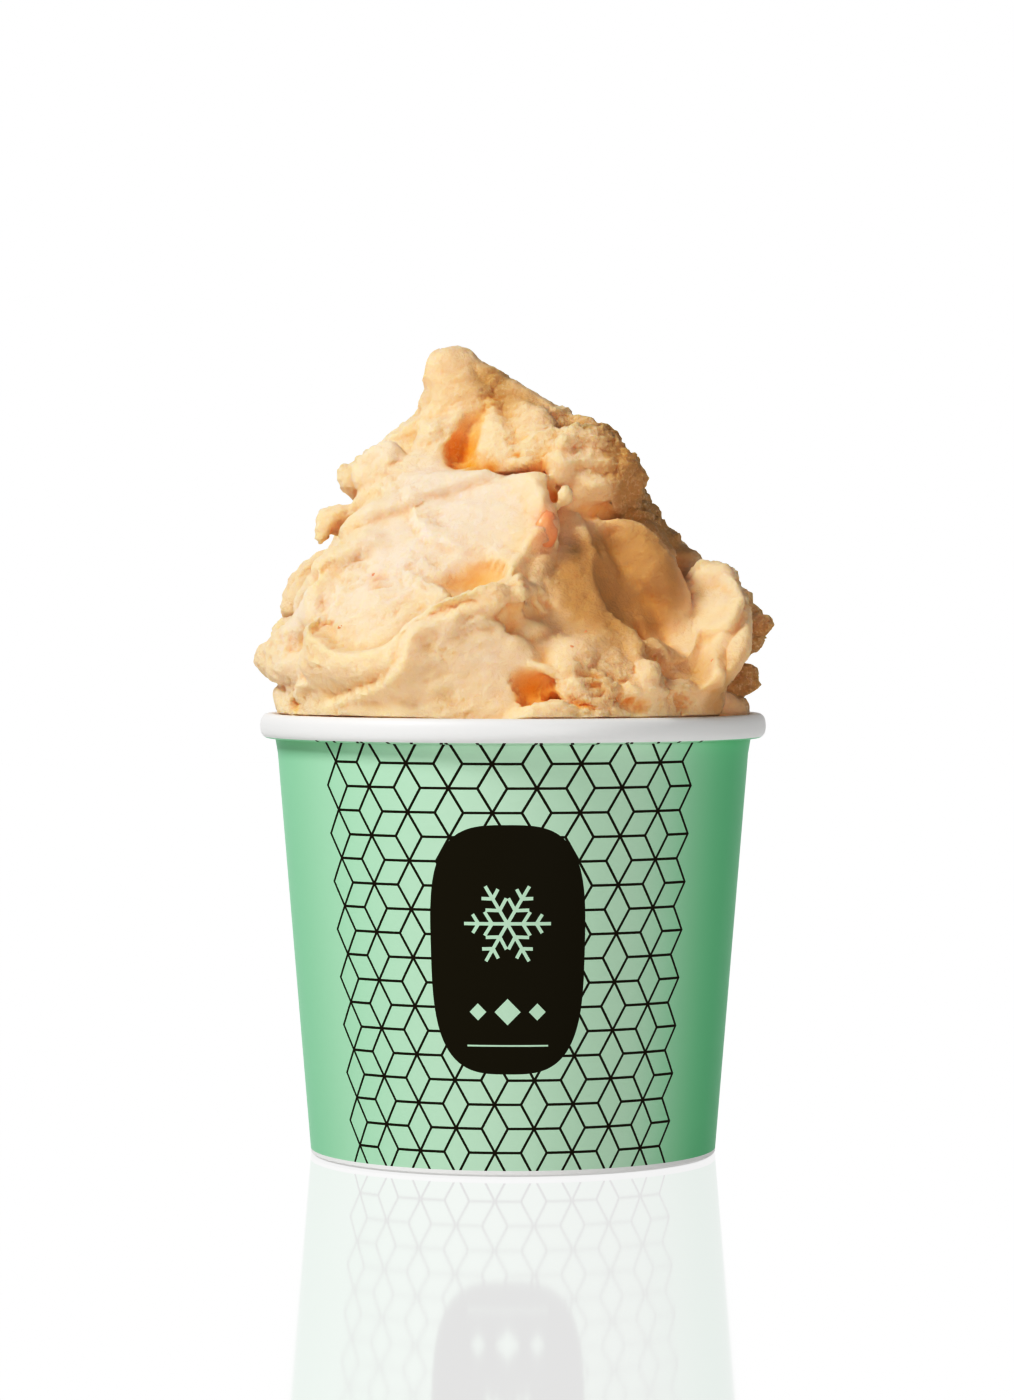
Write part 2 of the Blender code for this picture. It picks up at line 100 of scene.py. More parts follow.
@dataclass(frozen=True)
class Fold:
    """One smear of gelato: a rounded body drawn out along a curve through three points."""

    name: str
    start: Point
    middle: Point
    end: Point
    half_widths: Point
    thickness: float
    face: Point = (0, -1, 0)
    section: Section = Section.ROUND
    bluntness: float = 2.6

    def middle_line(self, place: np.ndarray) -> tuple[np.ndarray, np.ndarray]:
        """Points and directions of the parabola through the fold's three points.

        Args:
            place: where on the line, from 0 at the start to 1 at the end.

        Returns:
            The points and the unit directions, one row for each place.
        """
        start, middle, end = (np.array(point, float) for point in (self.start, self.middle, self.end))
        bend = 2 * middle - (start + end) / 2
        place = place[:, None]
        points = (1 - place) ** 2 * start + 2 * place * (1 - place) * bend + place ** 2 * end
        along = (1 - place) * (bend - start) + place * (end - bend)
        return points, along / np.linalg.norm(along, axis=1, keepdims=True)

    def width_at(self, place: np.ndarray) -> np.ndarray:
        """Half width along the line, on a parabola through the three half widths."""
        first, second, third = self.half_widths
        bulge = 2 * second - (first + third) / 2
        return (1 - place) ** 2 * first + 2 * place * (1 - place) * bulge + place ** 2 * third

    def model(self, sides: int = 36, rings: int = 24) -> bpy.types.Object:
        """Add a unit sphere and bend it along the middle line.

        Args:
            sides: segments round the sphere.
            rings: rings along it.

        Returns:
            The fold's object.
        """
        bpy.ops.mesh.primitive_uv_sphere_add(segments=sides, ring_count=rings, radius=1.0)
        item = bpy.context.object
        item.name = self.name
        sphere = read_vectors(item.data.vertices, "co")
        height = np.clip(sphere[:, 2], -1, 1)
        angle = np.arctan2(sphere[:, 1], sphere[:, 0])
        place = (1 + height) / 2
        width = self.width_at(place) * (1 - np.abs(height) ** self.bluntness) ** (1 / self.bluntness)
        points, along = self.middle_line(place)
        outward = np.array(self.face, float)
        outward = outward - (along @ outward)[:, None] * along
        outward /= np.linalg.norm(outward, axis=1, keepdims=True)
        sideways = np.cross(outward, along)
        across_power, through_power = self.section.value
        across = width * signed_power(np.cos(angle), across_power)
        through = width * self.thickness * signed_power(np.sin(angle), through_power)
        move_vertices(item.data, points + sideways * across[:, None] + outward * through[:, None])
        return item


@dataclass(frozen=True)
class Stroke:
    """A mark of the spatula, drawn on the surface.

    Its path is in pixels of the photograph or, with an azimuth, in millimetres across and up as seen
    from there.
    """

    name: str
    mark: Mark
    path: tuple[Spot, ...]
    width: float
    height: float
    azimuth: float | None = None

    def places(self, step: float) -> np.ndarray:
        """Points along the path.

        Args:
            step: about how far apart they are, in millimetres.

        Returns:
            The points, one for each row.
        """
        corners = np.array(self.path, float)
        lengths = np.r_[0, np.cumsum(np.linalg.norm(np.diff(corners, axis=0), axis=1))]
        size = lengths[-1] * (VIEW.pixel if self.azimuth is None else 1.0)
        places = np.linspace(0, lengths[-1], max(8, int(size / step)))
        return np.stack([np.interp(places, lengths, corners[:, axis]) for axis in (0, 1)], axis=1)


@dataclass(frozen=True)
class Press:
    """A flat that the spatula left: what stands out past the plane of three points is pushed in."""

    name: str
    corners: tuple[Point, Point, Point]
    reach: float
    heap_middle: Point = (0.0, 5.0, 85.0)
    edge_fade: Spot = (0.7, 1.0)
    height_fade: Spot = (0.35, 0.9)
    strength: float = 0.9

    def flatten(self, places: np.ndarray) -> np.ndarray:
        """Push points in to the plane, within reach of the corners' middle.

        Args:
            places: points, one for each row.

        Returns:
            Their new places.
        """
        first, second, third = (np.array(corner, float) for corner in self.corners)
        middle = (first + second + third) / 3
        normal = np.cross(second - first, third - first)
        normal /= np.linalg.norm(normal)
        if normal @ (middle - np.array(self.heap_middle)) < 0:
            normal = -normal
        offsets = places - middle
        height = offsets @ normal
        aside = np.linalg.norm(offsets - height[:, None] * normal, axis=1)
        share = 1 - ease(aside / self.reach, *self.edge_fade)
        share *= 1 - ease(height / self.reach, *self.height_fade)
        push = np.where(height > 0, height * share * self.strength, 0.0)
        return places - push[:, None] * normal


@dataclass(frozen=True)
class Patch:
    """A ball of space where the surface is rougher, smoother, warmer or more deeply coloured."""

    name: str
    centre: Point
    radius: float
    strength: float

    def share(self, places: np.ndarray, fall: int = 2) -> np.ndarray:
        """The patch's strength at each place; a larger fall gives it a sharper edge."""
        distance = np.linalg.norm(places - np.array(self.centre), axis=1)
        return self.strength * np.exp(-(distance / self.radius) ** fall)


@dataclass(frozen=True)
class FruitBit:
    """A bit of fruit at a pixel of the photograph, with its half sizes in millimetres."""

    name: str
    column: float
    row: float
    half_width: float
    half_length: float


@dataclass(frozen=True)
class PhotoView:
    """The photograph's camera, fitted to the ellipses of the tub's rim and foot."""

    eye: Point = (-1.07, -792.8, 97.36)
    drop: float = 94.0
    focal: float = 4450.0
    width: float = 1014.0
    height: float = 1400.0
    pixel: float = 0.175
    side_distance: float = 200.0

    @property
    def tilt(self) -> float:
        """How far the camera looks down, in radians."""
        return math.atan(self.drop / self.focal)

    def ray(self, column: float, row: float) -> np.ndarray:
        """Direction from the eye through a pixel of the photograph.

        Args:
            column: the pixel's column.
            row: its row.

        Returns:
            The direction, not of unit length.
        """
        across, up = (column - self.width / 2) / self.focal, (self.height / 2 - row) / self.focal
        return np.array((across, math.cos(self.tilt) + up * math.sin(self.tilt),
                         up * math.cos(self.tilt) - math.sin(self.tilt)))

    def point(self, column: float, row: float, depth: float) -> Point:
        """The point at a pixel of the photograph.

        Args:
            column: the pixel's column.
            row: its row.
            depth: the point's Y, in millimetres.

        Returns:
            The point, in millimetres.
        """
        way = self.ray(column, row)
        place = np.array(self.eye) + way * (depth - self.eye[1]) / way[1]
        return tuple(float(value) for value in place)


VIEW = PhotoView()


def seen(column: float, row: float, depth: float) -> Point:
    """The point that the photograph shows at a pixel, at a depth along Y in millimetres."""
    return VIEW.point(column, row, depth)


def line_of_sight(first: float, second: float, azimuth: float | None = None) -> tuple[Vector, Vector]:
    """A ray from the photograph's camera, or a level one from the side.

    Args:
        first: a column of the photograph or, with an azimuth, millimetres across as seen from there.
        second: a row of the photograph or, with an azimuth, the height in millimetres.
        azimuth: degrees round from the front; without it the ray is the photograph's.

    Returns:
        Where the ray starts, and its direction.
    """
    if azimuth is None:
        return Vector(VIEW.eye), Vector(VIEW.ray(first, second)).normalized()
    turn = math.radians(azimuth)
    ahead = Vector((-math.sin(turn), math.cos(turn), 0.0))
    target = Vector((math.cos(turn) * first, math.sin(turn) * first, second))
    return target - ahead * VIEW.side_distance, ahead


PEAK_FOLDS = (
    Fold("core", (0, 5, 58), (0, 5, 86), (1, 5, 118),
         (41, 36, 13.5), 0.93),
    Fold("peak", (2, 5, 112), (-6.8, 4, 127), (-11.5, 0.5, 143.4),
         (13, 8.2, 5.6), 0.8, (0.2, -1, 0.1), Section.BOXY, 3.6),
    Fold("peak_flank", (-8, 0.5, 138.4), (0, 1.5, 131.2), (9.5, 3, 118),
         (4.4, 5.4, 7.0), 0.8, (0.5, -0.8, 0.6), Section.BOXY, 3.2),
    Fold("shoulder_top", seen(448, 440, 1), seen(415, 431, 1), seen(382, 446, 0),
         (5.0, 5.0, 4.4), 0.9, (-0.2, -0.8, 0.5), Section.BOXY, 3.4),
    Fold("horn_face", seen(454, 366, -1), seen(449, 412, -3.5), seen(434, 466, -8),
         (3.2, 4.2, 5.4), 0.6, (-0.3, -0.9, 0.2), Section.BOXY, 3.4),
    Fold("brow", seen(468, 372, 0), seen(516, 402, -2), seen(560, 440, -5),
         (4.6, 6.6, 6.4), 0.45, (0.25, -0.85, 0.45), Section.SHEET, 3.6),
    Fold("brow_low", seen(514, 408, -5), seen(531, 438, -9), seen(540, 472, -12),
         (3.6, 5.0, 5.2), 0.55, (-0.1, -0.95, 0.3), Section.SHEET, 3.2),
    Fold("cave_wall", seen(484, 404, -4.5), seen(494, 436, -7.5), seen(502, 470, -11.5),
         (2.6, 4.4, 5.2), 0.6, (-0.4, -0.9, 0.2), Section.SHEET, 3.0),
    Fold("peak_face", seen(462, 370, -1.6), seen(482, 396, -3.4), seen(500, 424, -5.6),
         (3.6, 4.6, 4.6), 0.5, (0.1, -0.9, 0.3), Section.SHEET, 3.0),
    Fold("left_shoulder", (-5, 1, 126.5), (-15.8, 0, 122.3), (-31.4, -2, 119.4),
         (7, 7.4, 4.1), 0.9, (-0.2, -0.8, 0.5), Section.BOXY, 3.0),
    Fold("shoulder_face", (-5, -6, 121.5), (-15.5, -8.5, 116.5), (-28, -9, 110.5),
         (6.5, 8, 5.6), 0.75, (-0.3, -0.8, 0.5), Section.BOXY, 3.6),
    Fold("shoulder_lump", seen(400, 446, -7), seen(374, 466, -8.5), seen(354, 486, -7),
         (2.6, 3.4, 2.6), 0.6, (-0.3, -0.9, 0.2), Section.ROUND, 3.0),
    Fold("right_lump", (6, -8, 120), (13.8, -8.5, 120.0), (21.5, -5, 115.2),
         (6.8, 7.6, 6), 0.9, (0.1, -1, 0.1), Section.BOXY, 3.0),
    Fold("lump_top", (8, -4, 127.2), (13.2, -4, 127.4), (17, -3, 121.6),
         (3.5, 3.7, 3.9), 0.9, (0, -1, 0), Section.ROUND, 2.8),
    Fold("lump_ledge_high", seen(550, 438, -10), seen(582, 431, -12.2), seen(606, 440, -9.5),
         (1.1, 1.7, 1.2), 0.9, (0, -1, 0.2), Section.ROUND, 2.8),
    Fold("lump_ledge_low", seen(552, 451, -12.5), seen(586, 449, -14.4), seen(618, 462, -10.5),
         (1.4, 2.0, 1.4), 0.9, (0, -1, 0.2), Section.ROUND, 2.8),
    Fold("lump_cheek", seen(556, 452, -12.5), seen(561, 468, -14.2), seen(556, 486, -13.5),
         (2.2, 2.9, 2.2), 0.9, (0, -1, 0), Section.ROUND, 2.8),
    Fold("lump_chin", seen(572, 484, -13.4), seen(600, 480, -13.2), seen(630, 478, -8.5),
         (2.2, 2.8, 2.4), 0.9, (0.1, -1, 0), Section.ROUND, 2.8),
    Fold("dark_flank", (13, 3, 122), (18.8, 2.5, 112), (25, 1.5, 99),
         (7, 6.5, 7), 1.0, (0.7, -0.7, 0), Section.BOXY, 2.8),
    Fold("flank_fill", seen(600, 508, 0), seen(628, 540, -4), (23, -6, 97),
         (5, 6, 7), 0.8, (0.4, -0.9, 0.2), Section.ROUND, 2.8),
    Fold("lump_fill", (0, -7, 108), (9, -10, 109), (16, -8, 104),
         (6, 7, 6), 0.9),
)

FRONT_FOLDS = (
    Fold("slab", seen(474, 487, -14), seen(432, 564, -22.5), seen(345, 668, -26),
         (14.5, 17.5, 16), 0.36, (-0.3, -0.8, 0.52), Section.PLATE, 9.0),
    Fold("slab_edge", seen(410, 497, -16), seen(480, 488, -18), seen(546, 486, -18.5),
         (2.0, 2.4, 2.6), 1.0, (0, -0.8, 0.6), Section.BOXY, 7.0),
    Fold("slab_top", seen(396, 508, -15), seen(450, 500, -18.5), seen(528, 499, -20),
         (4.2, 5.6, 5.6), 0.42, (-0.2, -0.85, 0.45), Section.SHEET, 4.0),
    Fold("ledge_fill", seen(486, 464, -10.5), seen(516, 464, -12), seen(546, 466, -13.5),
         (1.8, 2.5, 2.2), 0.8, (0, -0.8, 0.6), Section.ROUND, 3.0),
    Fold("slab_corner", seen(547, 482, -16), seen(547, 492, -18.5), seen(545, 506, -19),
         (2.1, 2.5, 2.0), 1.0, (0.3, -1, 0), Section.BOXY, 3.4),
    Fold("ridge", seen(541, 502, -19), seen(541, 540, -26), seen(529, 572, -31),
         (2.6, 3.4, 3.4), 0.8, (-0.1, -1, 0.3), Section.BOXY, 3.4),
    Fold("ridge_bulb", seen(533, 570, -32), seen(525, 589, -35), seen(504, 597, -36),
         (2.6, 3.1, 2.4), 0.85, (0, -1, 0), Section.BOXY, 3.0),
    Fold("lip", seen(526, 586, -34), seen(474, 604, -38), seen(415, 622, -37.6),
         (2.2, 2.6, 2.4), 0.9, (0, -1, 0.3), Section.BOXY, 3.2),
    Fold("lip_turn", seen(424, 620, -37.5), seen(405, 636, -38.2), seen(397, 674, -38),
         (2.2, 2.6, 2.0), 0.8, (0.1, -1, 0), Section.BOXY, 3.2),
    Fold("lip_foot", seen(402, 668, -38), seen(368, 688, -36.2), seen(312, 706, -31.5),
         (2.2, 2.6, 2.2), 0.8, (-0.1, -1, 0.3), Section.BOXY, 3.2),
    Fold("front_sheet", seen(496, 622, -36.2), seen(474, 668, -37.4), seen(452, 722, -38),
         (9, 14, 15), 0.25, (0.12, -1, -0.02), Section.SHEET, 5.0),
    Fold("left_plate", seen(430, 590, -29), seen(370, 634, -31), seen(330, 700, -30.5),
         (10, 11, 9), 0.5, (-0.4, -0.85, 0.3), Section.BOXY, 3.6),
    Fold("slope", seen(562, 500, -11.5), seen(584, 575, -20.5), seen(594, 706, -35.5),
         (3.4, 6.6, 12), 0.5, (0.4, -0.82, 0.38), Section.SHEET, 4.0),
    Fold("slope_crest", seen(572, 510, -15), seen(598, 576, -23.5), seen(640, 664, -32),
         (1.4, 2.0, 2.2), 0.8, (0.1, -1, 0.3), Section.BOXY, 3.4),
    Fold("petal_fill", seen(698, 572, -9), seen(708, 600, -14), seen(706, 640, -18.5),
         (4.0, 6.2, 6.0), 0.5, (-0.3, -0.9, 0.25), Section.SHEET, 3.4),
    Fold("bulb_gap", seen(553, 546, -20), seen(557, 570, -23.5), seen(560, 594, -27.5),
         (2.6, 3.4, 3.4), 0.8, (0.1, -1, 0.2), Section.ROUND, 2.8),
    Fold("under_lip", seen(490, 634, -33), seen(524, 612, -32), seen(552, 576, -27),
         (4, 5.2, 5), 0.7, (0, -1, 0), Section.ROUND, 2.8),
    Fold("left_foot", (-37, -19, 79), (-29.5, -30.5, 79), (-13, -38, 78),
         (5.5, 6.5, 6.5), 0.8, (-0.5, -0.85, 0.1), Section.ROUND, 3.4),
    Fold("front_low", (-26, -30, 76), (0, -41, 75), (26, -32, 75),
         (5, 6, 6), 0.7, (0, -1, 0.1), Section.BOXY, 3.6),
    Fold("front_fill", (-20, -23, 86), (2, -30, 85), (20, -25, 86),
         (7, 9, 7), 0.7),
    Fold("hole_lip_left", seen(508, 676, -38), seen(505, 696, -39.5), seen(508, 714, -40),
         (1.4, 1.6, 1.6), 0.9, (0, -1, 0), Section.ROUND, 2.8),
    Fold("hole_lip_top", seen(508, 676, -37.8), seen(534, 670, -38), seen(562, 688, -38.4),
         (1.2, 1.7, 1.4), 0.9, (0, -1, 0.3), Section.ROUND, 2.8),
    Fold("crumb_row", seen(560, 690, -38.4), seen(592, 690, -37.8), seen(622, 694, -36.2),
         (2.4, 2.6, 2.2), 0.8, (0, -1, 0.2), Section.ROUND, 2.8),
    Fold("crumb_row_low", seen(560, 710, -39.8), seen(604, 708, -38.8), (22.5, -35.5, 79.2),
         (2.0, 2.2, 1.8), 0.8, (0, -1, 0.2), Section.ROUND, 2.8),
    Fold("nub", seen(560, 494, -19), seen(564, 496, -19.8), seen(568, 498, -19),
         (1.5, 1.9, 1.5), 1.0, (0, -1, 0), Section.ROUND, 2.4),
    Fold("fruit_bit", seen(546, 512, -22), seen(547, 524, -25), seen(546, 536, -26.4),
         (1.2, 1.6, 1.2), 0.8, (0.2, -1, 0)),
)

RIGHT_FOLDS = (
    Fold("scoop_bed", seen(600, 542, -12.5), seen(634, 582, -15.5), (24.5, -20.5, 87),
         (4.8, 8.2, 7.0), 0.5, (-0.25, -0.92, 0.3), Section.SHEET, 3.6),
    Fold("scoop_edge", seen(582, 530, -15), seen(642, 532, -15), seen(682, 596, -17.5),
         (0.9, 1.4, 1.2), 0.8, (0.1, -0.95, 0.3), Section.ROUND, 3.0),
    Fold("scoop_sill", seen(630, 652, -27), seen(662, 652, -25), seen(692, 630, -18),
         (2.6, 3.2, 3.0), 0.8, (0.1, -1, 0.2), Section.ROUND, 2.8),
    Fold("petal", (31, -5, 101.5), (35, -14, 92.5), (27, -32, 77),
         (6.4, 8.0, 9), 0.28, (-0.55, -0.8, 0.25), Section.SHEET, 4.4),
    Fold("petal_bed", seen(688, 576, -7), seen(700, 620, -12), seen(692, 690, -22),
         (6, 7, 8), 0.5, (-0.2, -0.95, 0.2), Section.ROUND, 2.8),
    Fold("right_foot", seen(616, 702, -36), seen(662, 706, -32), seen(722, 706, -22),
         (4, 5, 4), 0.8, (0.3, -1, 0), Section.ROUND, 2.8),
    Fold("petal_root", (26, -11, 95), (28, -17, 86), (24, -28, 74),
         (9, 10, 9), 0.7, (0.4, -0.9, 0.2), Section.ROUND, 3.0),
    Fold("right_lobe_high", (36, 6, 99), (40.6, 4, 94), (41, 0, 90),
         (5, 4.6, 4), 0.9, (1, -0.5, 0), Section.ROUND, 2.8),
    Fold("right_lobe_knob", (40, 0, 93), (44, -1, 94), (46.2, -1, 93.6),
         (2.5, 2.4, 1.6), 0.9),
    Fold("right_lobe_low", (35, 2, 82), (40, 0, 83.6), (43.6, -1, 83.6),
         (4.5, 3.8, 2.4), 0.9, (0, -1, 0), Section.ROUND, 2.8),
    Fold("right_lobe_rim", (30, -6, 80), (37.5, -6, 78.6), (40.5, -4, 80),
         (5, 4, 2.6), 0.9, (0, -1, 0), Section.ROUND, 2.8),
    Fold("right_side", (15, 5, 115), (29, 9, 100), (35, 9, 81),
         (8, 11, 12), 0.55, (0.95, 0.1, 0.3), Section.BOXY, 3.2),
    Fold("knob", seen(650, 694, -33), seen(650, 678, -33.5), seen(648, 662, -33),
         (2.4, 2.5, 2.1), 1.0, (0, -1, 0), Section.ROUND, 2.4),
    Fold("knob_fold", seen(655, 668, -32.5), seen(668, 694, -31.5), seen(690, 718, -29),
         (1.8, 2.4, 2.0), 0.8, (0, -1, 0), Section.ROUND, 2.8),
)

LEFT_FOLDS = (
    Fold("left_side", (-15, 7, 114), (-32, 7, 100), (-37.5, 8, 81),
         (8, 11, 12), 0.55, (-0.9, -0.2, 0.4), Section.BOXY, 3.2),
    Fold("left_facet", (-28, 0, 102.6), (-34.3, 0, 100.6), (-37.4, 2, 94),
         (6, 5.4, 5.5), 0.9, (-0.7, -0.7, 0.2), Section.BOXY, 3.4),
    Fold("left_sheet", (-20, -17, 105), (-31, -18, 95), (-34, -16, 84),
         (10, 9, 8), 0.5, (-0.6, -0.7, 0.4), Section.BOXY, 3.6),
    Fold("left_roll_high", (-26, -26, 95), (-37.0, -15, 92.6), (-42.4, -3, 89.2),
         (3.4, 3.6, 3.0), 0.9, (-0.5, -0.8, 0.2), Section.ROUND, 3.0),
    Fold("left_roll_low", (-28, -28, 85), (-38.6, -16, 87.2), (-44.8, -2, 88.6),
         (4, 3.8, 3.8), 0.9, (-0.5, -0.8, 0), Section.ROUND, 3.0),
    Fold("left_base", (-29, -29, 79), (-37.0, -15, 80), (-40.6, -1, 80.5),
         (4, 4, 3.4), 0.9, (-0.7, -0.7, 0), Section.ROUND, 3.0),
    Fold("curl", (-25, -7, 109.4), (-32.0, -9, 112.6), (-33.6, -10, 107.6),
         (4.2, 2.5, 1.8), 0.8, (-0.3, -0.9, 0.2)),
)

BACK_FOLDS = (
    Fold("back_high", (14, 10, 122), (4, 16, 114), (-12, 17, 104),
         (7, 9, 8), 0.7, (0.2, 0.8, 0.5), Section.BOXY, 3.2),
    Fold("back_right", (24, 10, 110), (27, 22, 98), (12, 33, 88),
         (7, 9, 9), 0.55, (0.6, 0.7, 0.3), Section.BOXY, 3.2),
    Fold("back_left", (-12, 12, 119), (-24, 18, 108), (-30, 22, 94),
         (7, 9, 9), 0.6, (-0.5, 0.7, 0.5), Section.BOXY, 3.2),
    Fold("back_mid", (16, 25, 103), (-2, 31, 99), (-22, 26, 96),
         (6, 8, 7), 0.6, (0, 0.9, 0.5), Section.BOXY, 3.2),
    Fold("back_skirt", (38, 12, 84), (18, 36, 86), (-10, 38.5, 81),
         (6, 7.5, 7), 0.7, (0.3, 0.9, 0.2), Section.ROUND, 3.2),
    Fold("back_skirt_left", (4, 39, 79), (-24, 32, 85), (-40, 10, 83),
         (6, 7.5, 6), 0.7, (-0.5, 0.9, 0.2), Section.ROUND, 3.2),
    Fold("back_petal", (-14, 30, 104), (-30, 24, 95), (-38, 14, 86),
         (6, 8, 7), 0.35, (-0.6, 0.7, 0.3), Section.BOXY, 3.2),
)

HOLLOWS = (
    Fold("peak_hollow", seen(477, 410, -9), seen(463, 440, -10.5), seen(463, 470, -12.5),
         (1.0, 2.6, 3.6), 1.2),
    Fold("scoop", seen(592, 538, -26), seen(630, 578, -26.5), seen(652, 636, -29),
         (2.8, 6.0, 4.2), 1.2, (0.1, -1, 0.1)),
    Fold("corner_shadow", seen(553, 474, -17), seen(554, 488, -19), seen(552, 506, -21),
         (0.9, 1.2, 0.9), 2.0),
    Fold("curl_gap", seen(331, 540, -10), seen(338, 541, -10), seen(346, 536, -9),
         (0.7, 1.0, 0.6), 6.0),
)

PRESSES = (
    Press("horn_slope", (seen(480, 362, -4), seen(560, 412, -5), seen(515, 382, 4)), 11),
    Press("horn_left", (seen(434, 362, -3), seen(434, 405, -4), seen(458, 385, -6.5)), 8),
    Press("shoulder_top", (seen(352, 464, -4), seen(424, 412, -4), seen(388, 438, 5)), 10),
    Press("shoulder_front", (seen(350, 482, -10), seen(425, 432, -10), seen(388, 492, -14)), 9),
    Press("lump_side", (seen(628, 440, -4), seen(646, 490, -4), seen(632, 465, 6)), 9),
    Press("lump_face", (seen(566, 440, -14), seen(616, 445, -11), seen(590, 478, -15.5)), 7),
    Press("slab_face", (seen(440, 492, -17.5), seen(538, 488, -19.5), seen(390, 596, -28.5)), 17),
    Press("slab_low", (seen(400, 560, -25), seen(350, 600, -25), seen(380, 650, -32.5)), 13),
    Press("slope_face", (seen(562, 520, -19.5), seen(598, 600, -28), seen(570, 650, -34.5)), 12),
    Press("front_face", (seen(430, 650, -40.0), seen(505, 650, -38.8), seen(455, 708, -40.6)), 14),
    Press("petal_face", (seen(694, 584, -12), seen(738, 598, -17), seen(690, 690, -28.5)), 11),
)

# Marks in front, along pixels of the photograph
FRONT_STROKES = (
    Stroke("tab_left_edge", Mark.STEP, ((404, 488), (409, 515), (428, 542), (462, 552)), 4.5, 0.8),
    Stroke("lip_edge", Mark.STEP,
           ((506, 592), (474, 604), (440, 616), (414, 624), (403, 640),
            (399, 662), (380, 684), (340, 698), (308, 710)), 3.4, 1.3),
    Stroke("dent", Mark.DENT, ((444, 594), (472, 582), (504, 562)), 4.4, 1.9),
    Stroke("hollow_under_bulb", Mark.DENT, ((500, 622), (520, 616), (548, 596)), 2.4, 1.8),
    Stroke("cavity_line", Mark.GROOVE, ((574, 512), (590, 514), (612, 506)), 1.2, 1.4),
    Stroke("rim_hole_high", Mark.DENT, ((514, 692), (530, 682), (552, 692)), 2.5, 1.8),
    Stroke("rim_hole_low", Mark.DENT, ((518, 704), (530, 700), (540, 704)), 1.6, 1.2),
    Stroke("lump_edge_high", Mark.STEP, ((552, 449), (580, 441), (612, 449)), 2.2, 1.0),
    Stroke("lump_edge_low", Mark.STEP, ((556, 470), (590, 463), (622, 472)), 2.2, 1.0),
    Stroke("scoop_left_crease", Mark.GROOVE, ((606, 540), (632, 574), (652, 612)), 1.8, 0.5),
    Stroke("scoop_left_crest", Mark.CREST, ((598, 552), (620, 590), (640, 626)), 1.8, 0.4),
    Stroke("petal_right_edge", Mark.STEP,
           ((724, 690), (721, 650), (738, 618),
            (747, 592), (738, 574)), 2.4, 1.2),
    Stroke("knob_crease", Mark.GROOVE, ((664, 660), (672, 690), (688, 712)), 1.6, 1.4),
    Stroke("left_bulge_crease", Mark.GROOVE, ((284, 648), (296, 644), (308, 638)), 1.6, 1.2),
    Stroke("left_bulge_crease_high", Mark.GROOVE, ((308, 634), (318, 628), (324, 618)), 1.6, 1.0),
    Stroke("left_facet_edge", Mark.STEP, ((318, 562), (320, 578), (307, 590), (304, 606)), 2.0, 1.1),
    Stroke("cave_left_edge", Mark.GROOVE,
           ((490, 398), (478, 412), (466, 434),
            (457, 456), (460, 472)), 1.8, 1.6),
    Stroke("cave_right_edge", Mark.GROOVE, ((492, 400), (510, 422), (519, 448)), 1.4, 0.7),
    Stroke("cave_tongue_streak", Mark.GROOVE, ((500, 462), (512, 457), (522, 452)), 1.2, 0.8),
    Stroke("peak_streak", Mark.GROOVE, ((470, 360), (490, 384), (506, 404), (514, 420)), 1.6, 1.1),
    Stroke("peak_crest", Mark.CREST, ((448, 356), (462, 384), (468, 404)), 2.0, 0.5),
    Stroke("slab_left_crease", Mark.GROOVE, ((350, 512), (366, 504), (384, 494)), 2.4, 0.5),
    Stroke("crumb_crease_high", Mark.GROOVE, ((585, 686), (604, 682)), 1.0, 0.9),
    Stroke("crumb_crease_right", Mark.GROOVE, ((606, 698), (632, 702), (652, 710)), 1.2, 1.2),
    Stroke("crumb_crease_low", Mark.GROOVE, ((566, 708), (572, 700), (592, 704), (602, 714)), 1.2, 1.1),
    Stroke("left_rim_hole", Mark.DENT, ((292, 700), (293, 712)), 1.4, 1.8),
    Stroke("slab_ripple_high", Mark.GROOVE, ((440, 500), (480, 496), (520, 498)), 1.6, 0.25),
    Stroke("slab_ripple_middle", Mark.GROOVE, ((400, 520), (440, 515), (500, 522)), 1.8, 0.25),
    Stroke("slab_ripple_low", Mark.GROOVE, ((350, 560), (400, 540), (450, 540)), 1.8, 0.3),
    Stroke("left_plate_crest", Mark.CREST, ((330, 600), (360, 580), (410, 570)), 2.2, 0.4),
    Stroke("left_plate_crease", Mark.GROOVE, ((340, 640), (372, 628), (400, 600)), 1.8, 0.5),
    Stroke("lip_inner_crest", Mark.CREST, ((352, 674), (376, 664), (394, 650)), 2.0, 0.5),
    Stroke("front_sheet_fold", Mark.GROOVE, ((430, 660), (450, 690), (455, 712)), 2.4, 0.3),
    Stroke("petal_fold", Mark.GROOVE, ((690, 600), (700, 650), (700, 700)), 2.6, 0.35),
    Stroke("scoop_fold", Mark.GROOVE, ((620, 560), (640, 590), (650, 620)), 2.2, 0.5),
)

CRUMBLY = (
    Patch("lump", seen(590, 445, -6), 11, 0.9),
    Patch("left_shoulder", seen(375, 460, -5), 9, 0.45),
    Patch("peak_streak", seen(502, 388, 0), 5, 0.45),
    Patch("left_bulge", seen(285, 650, -12), 10, 0.3),
    Patch("crumb_row", seen(590, 696, -38), 6, 0.7),
    Patch("right_lobes", (42, 0, 88), 9, 0.6),
    Patch("dark_flank", seen(650, 510, 2), 9, 0.7),
    Patch("crumb_row_right", seen(612, 690, -36), 6, 0.4),
    Patch("scoop_top", seen(665, 560, -16), 5, 0.5),
)

# Where the joins of folds are smoothed out
SOFT = (
    Patch("slab_top", seen(446, 494, -17), 9.0, 0.9),
    Patch("slab_left", seen(400, 505, -14), 8.0, 0.8),
    Patch("peak_left", seen(470, 375, -2), 5.0, 0.5),
    Patch("bulb_gap", seen(550, 588, -29), 4.0, 0.8),
)

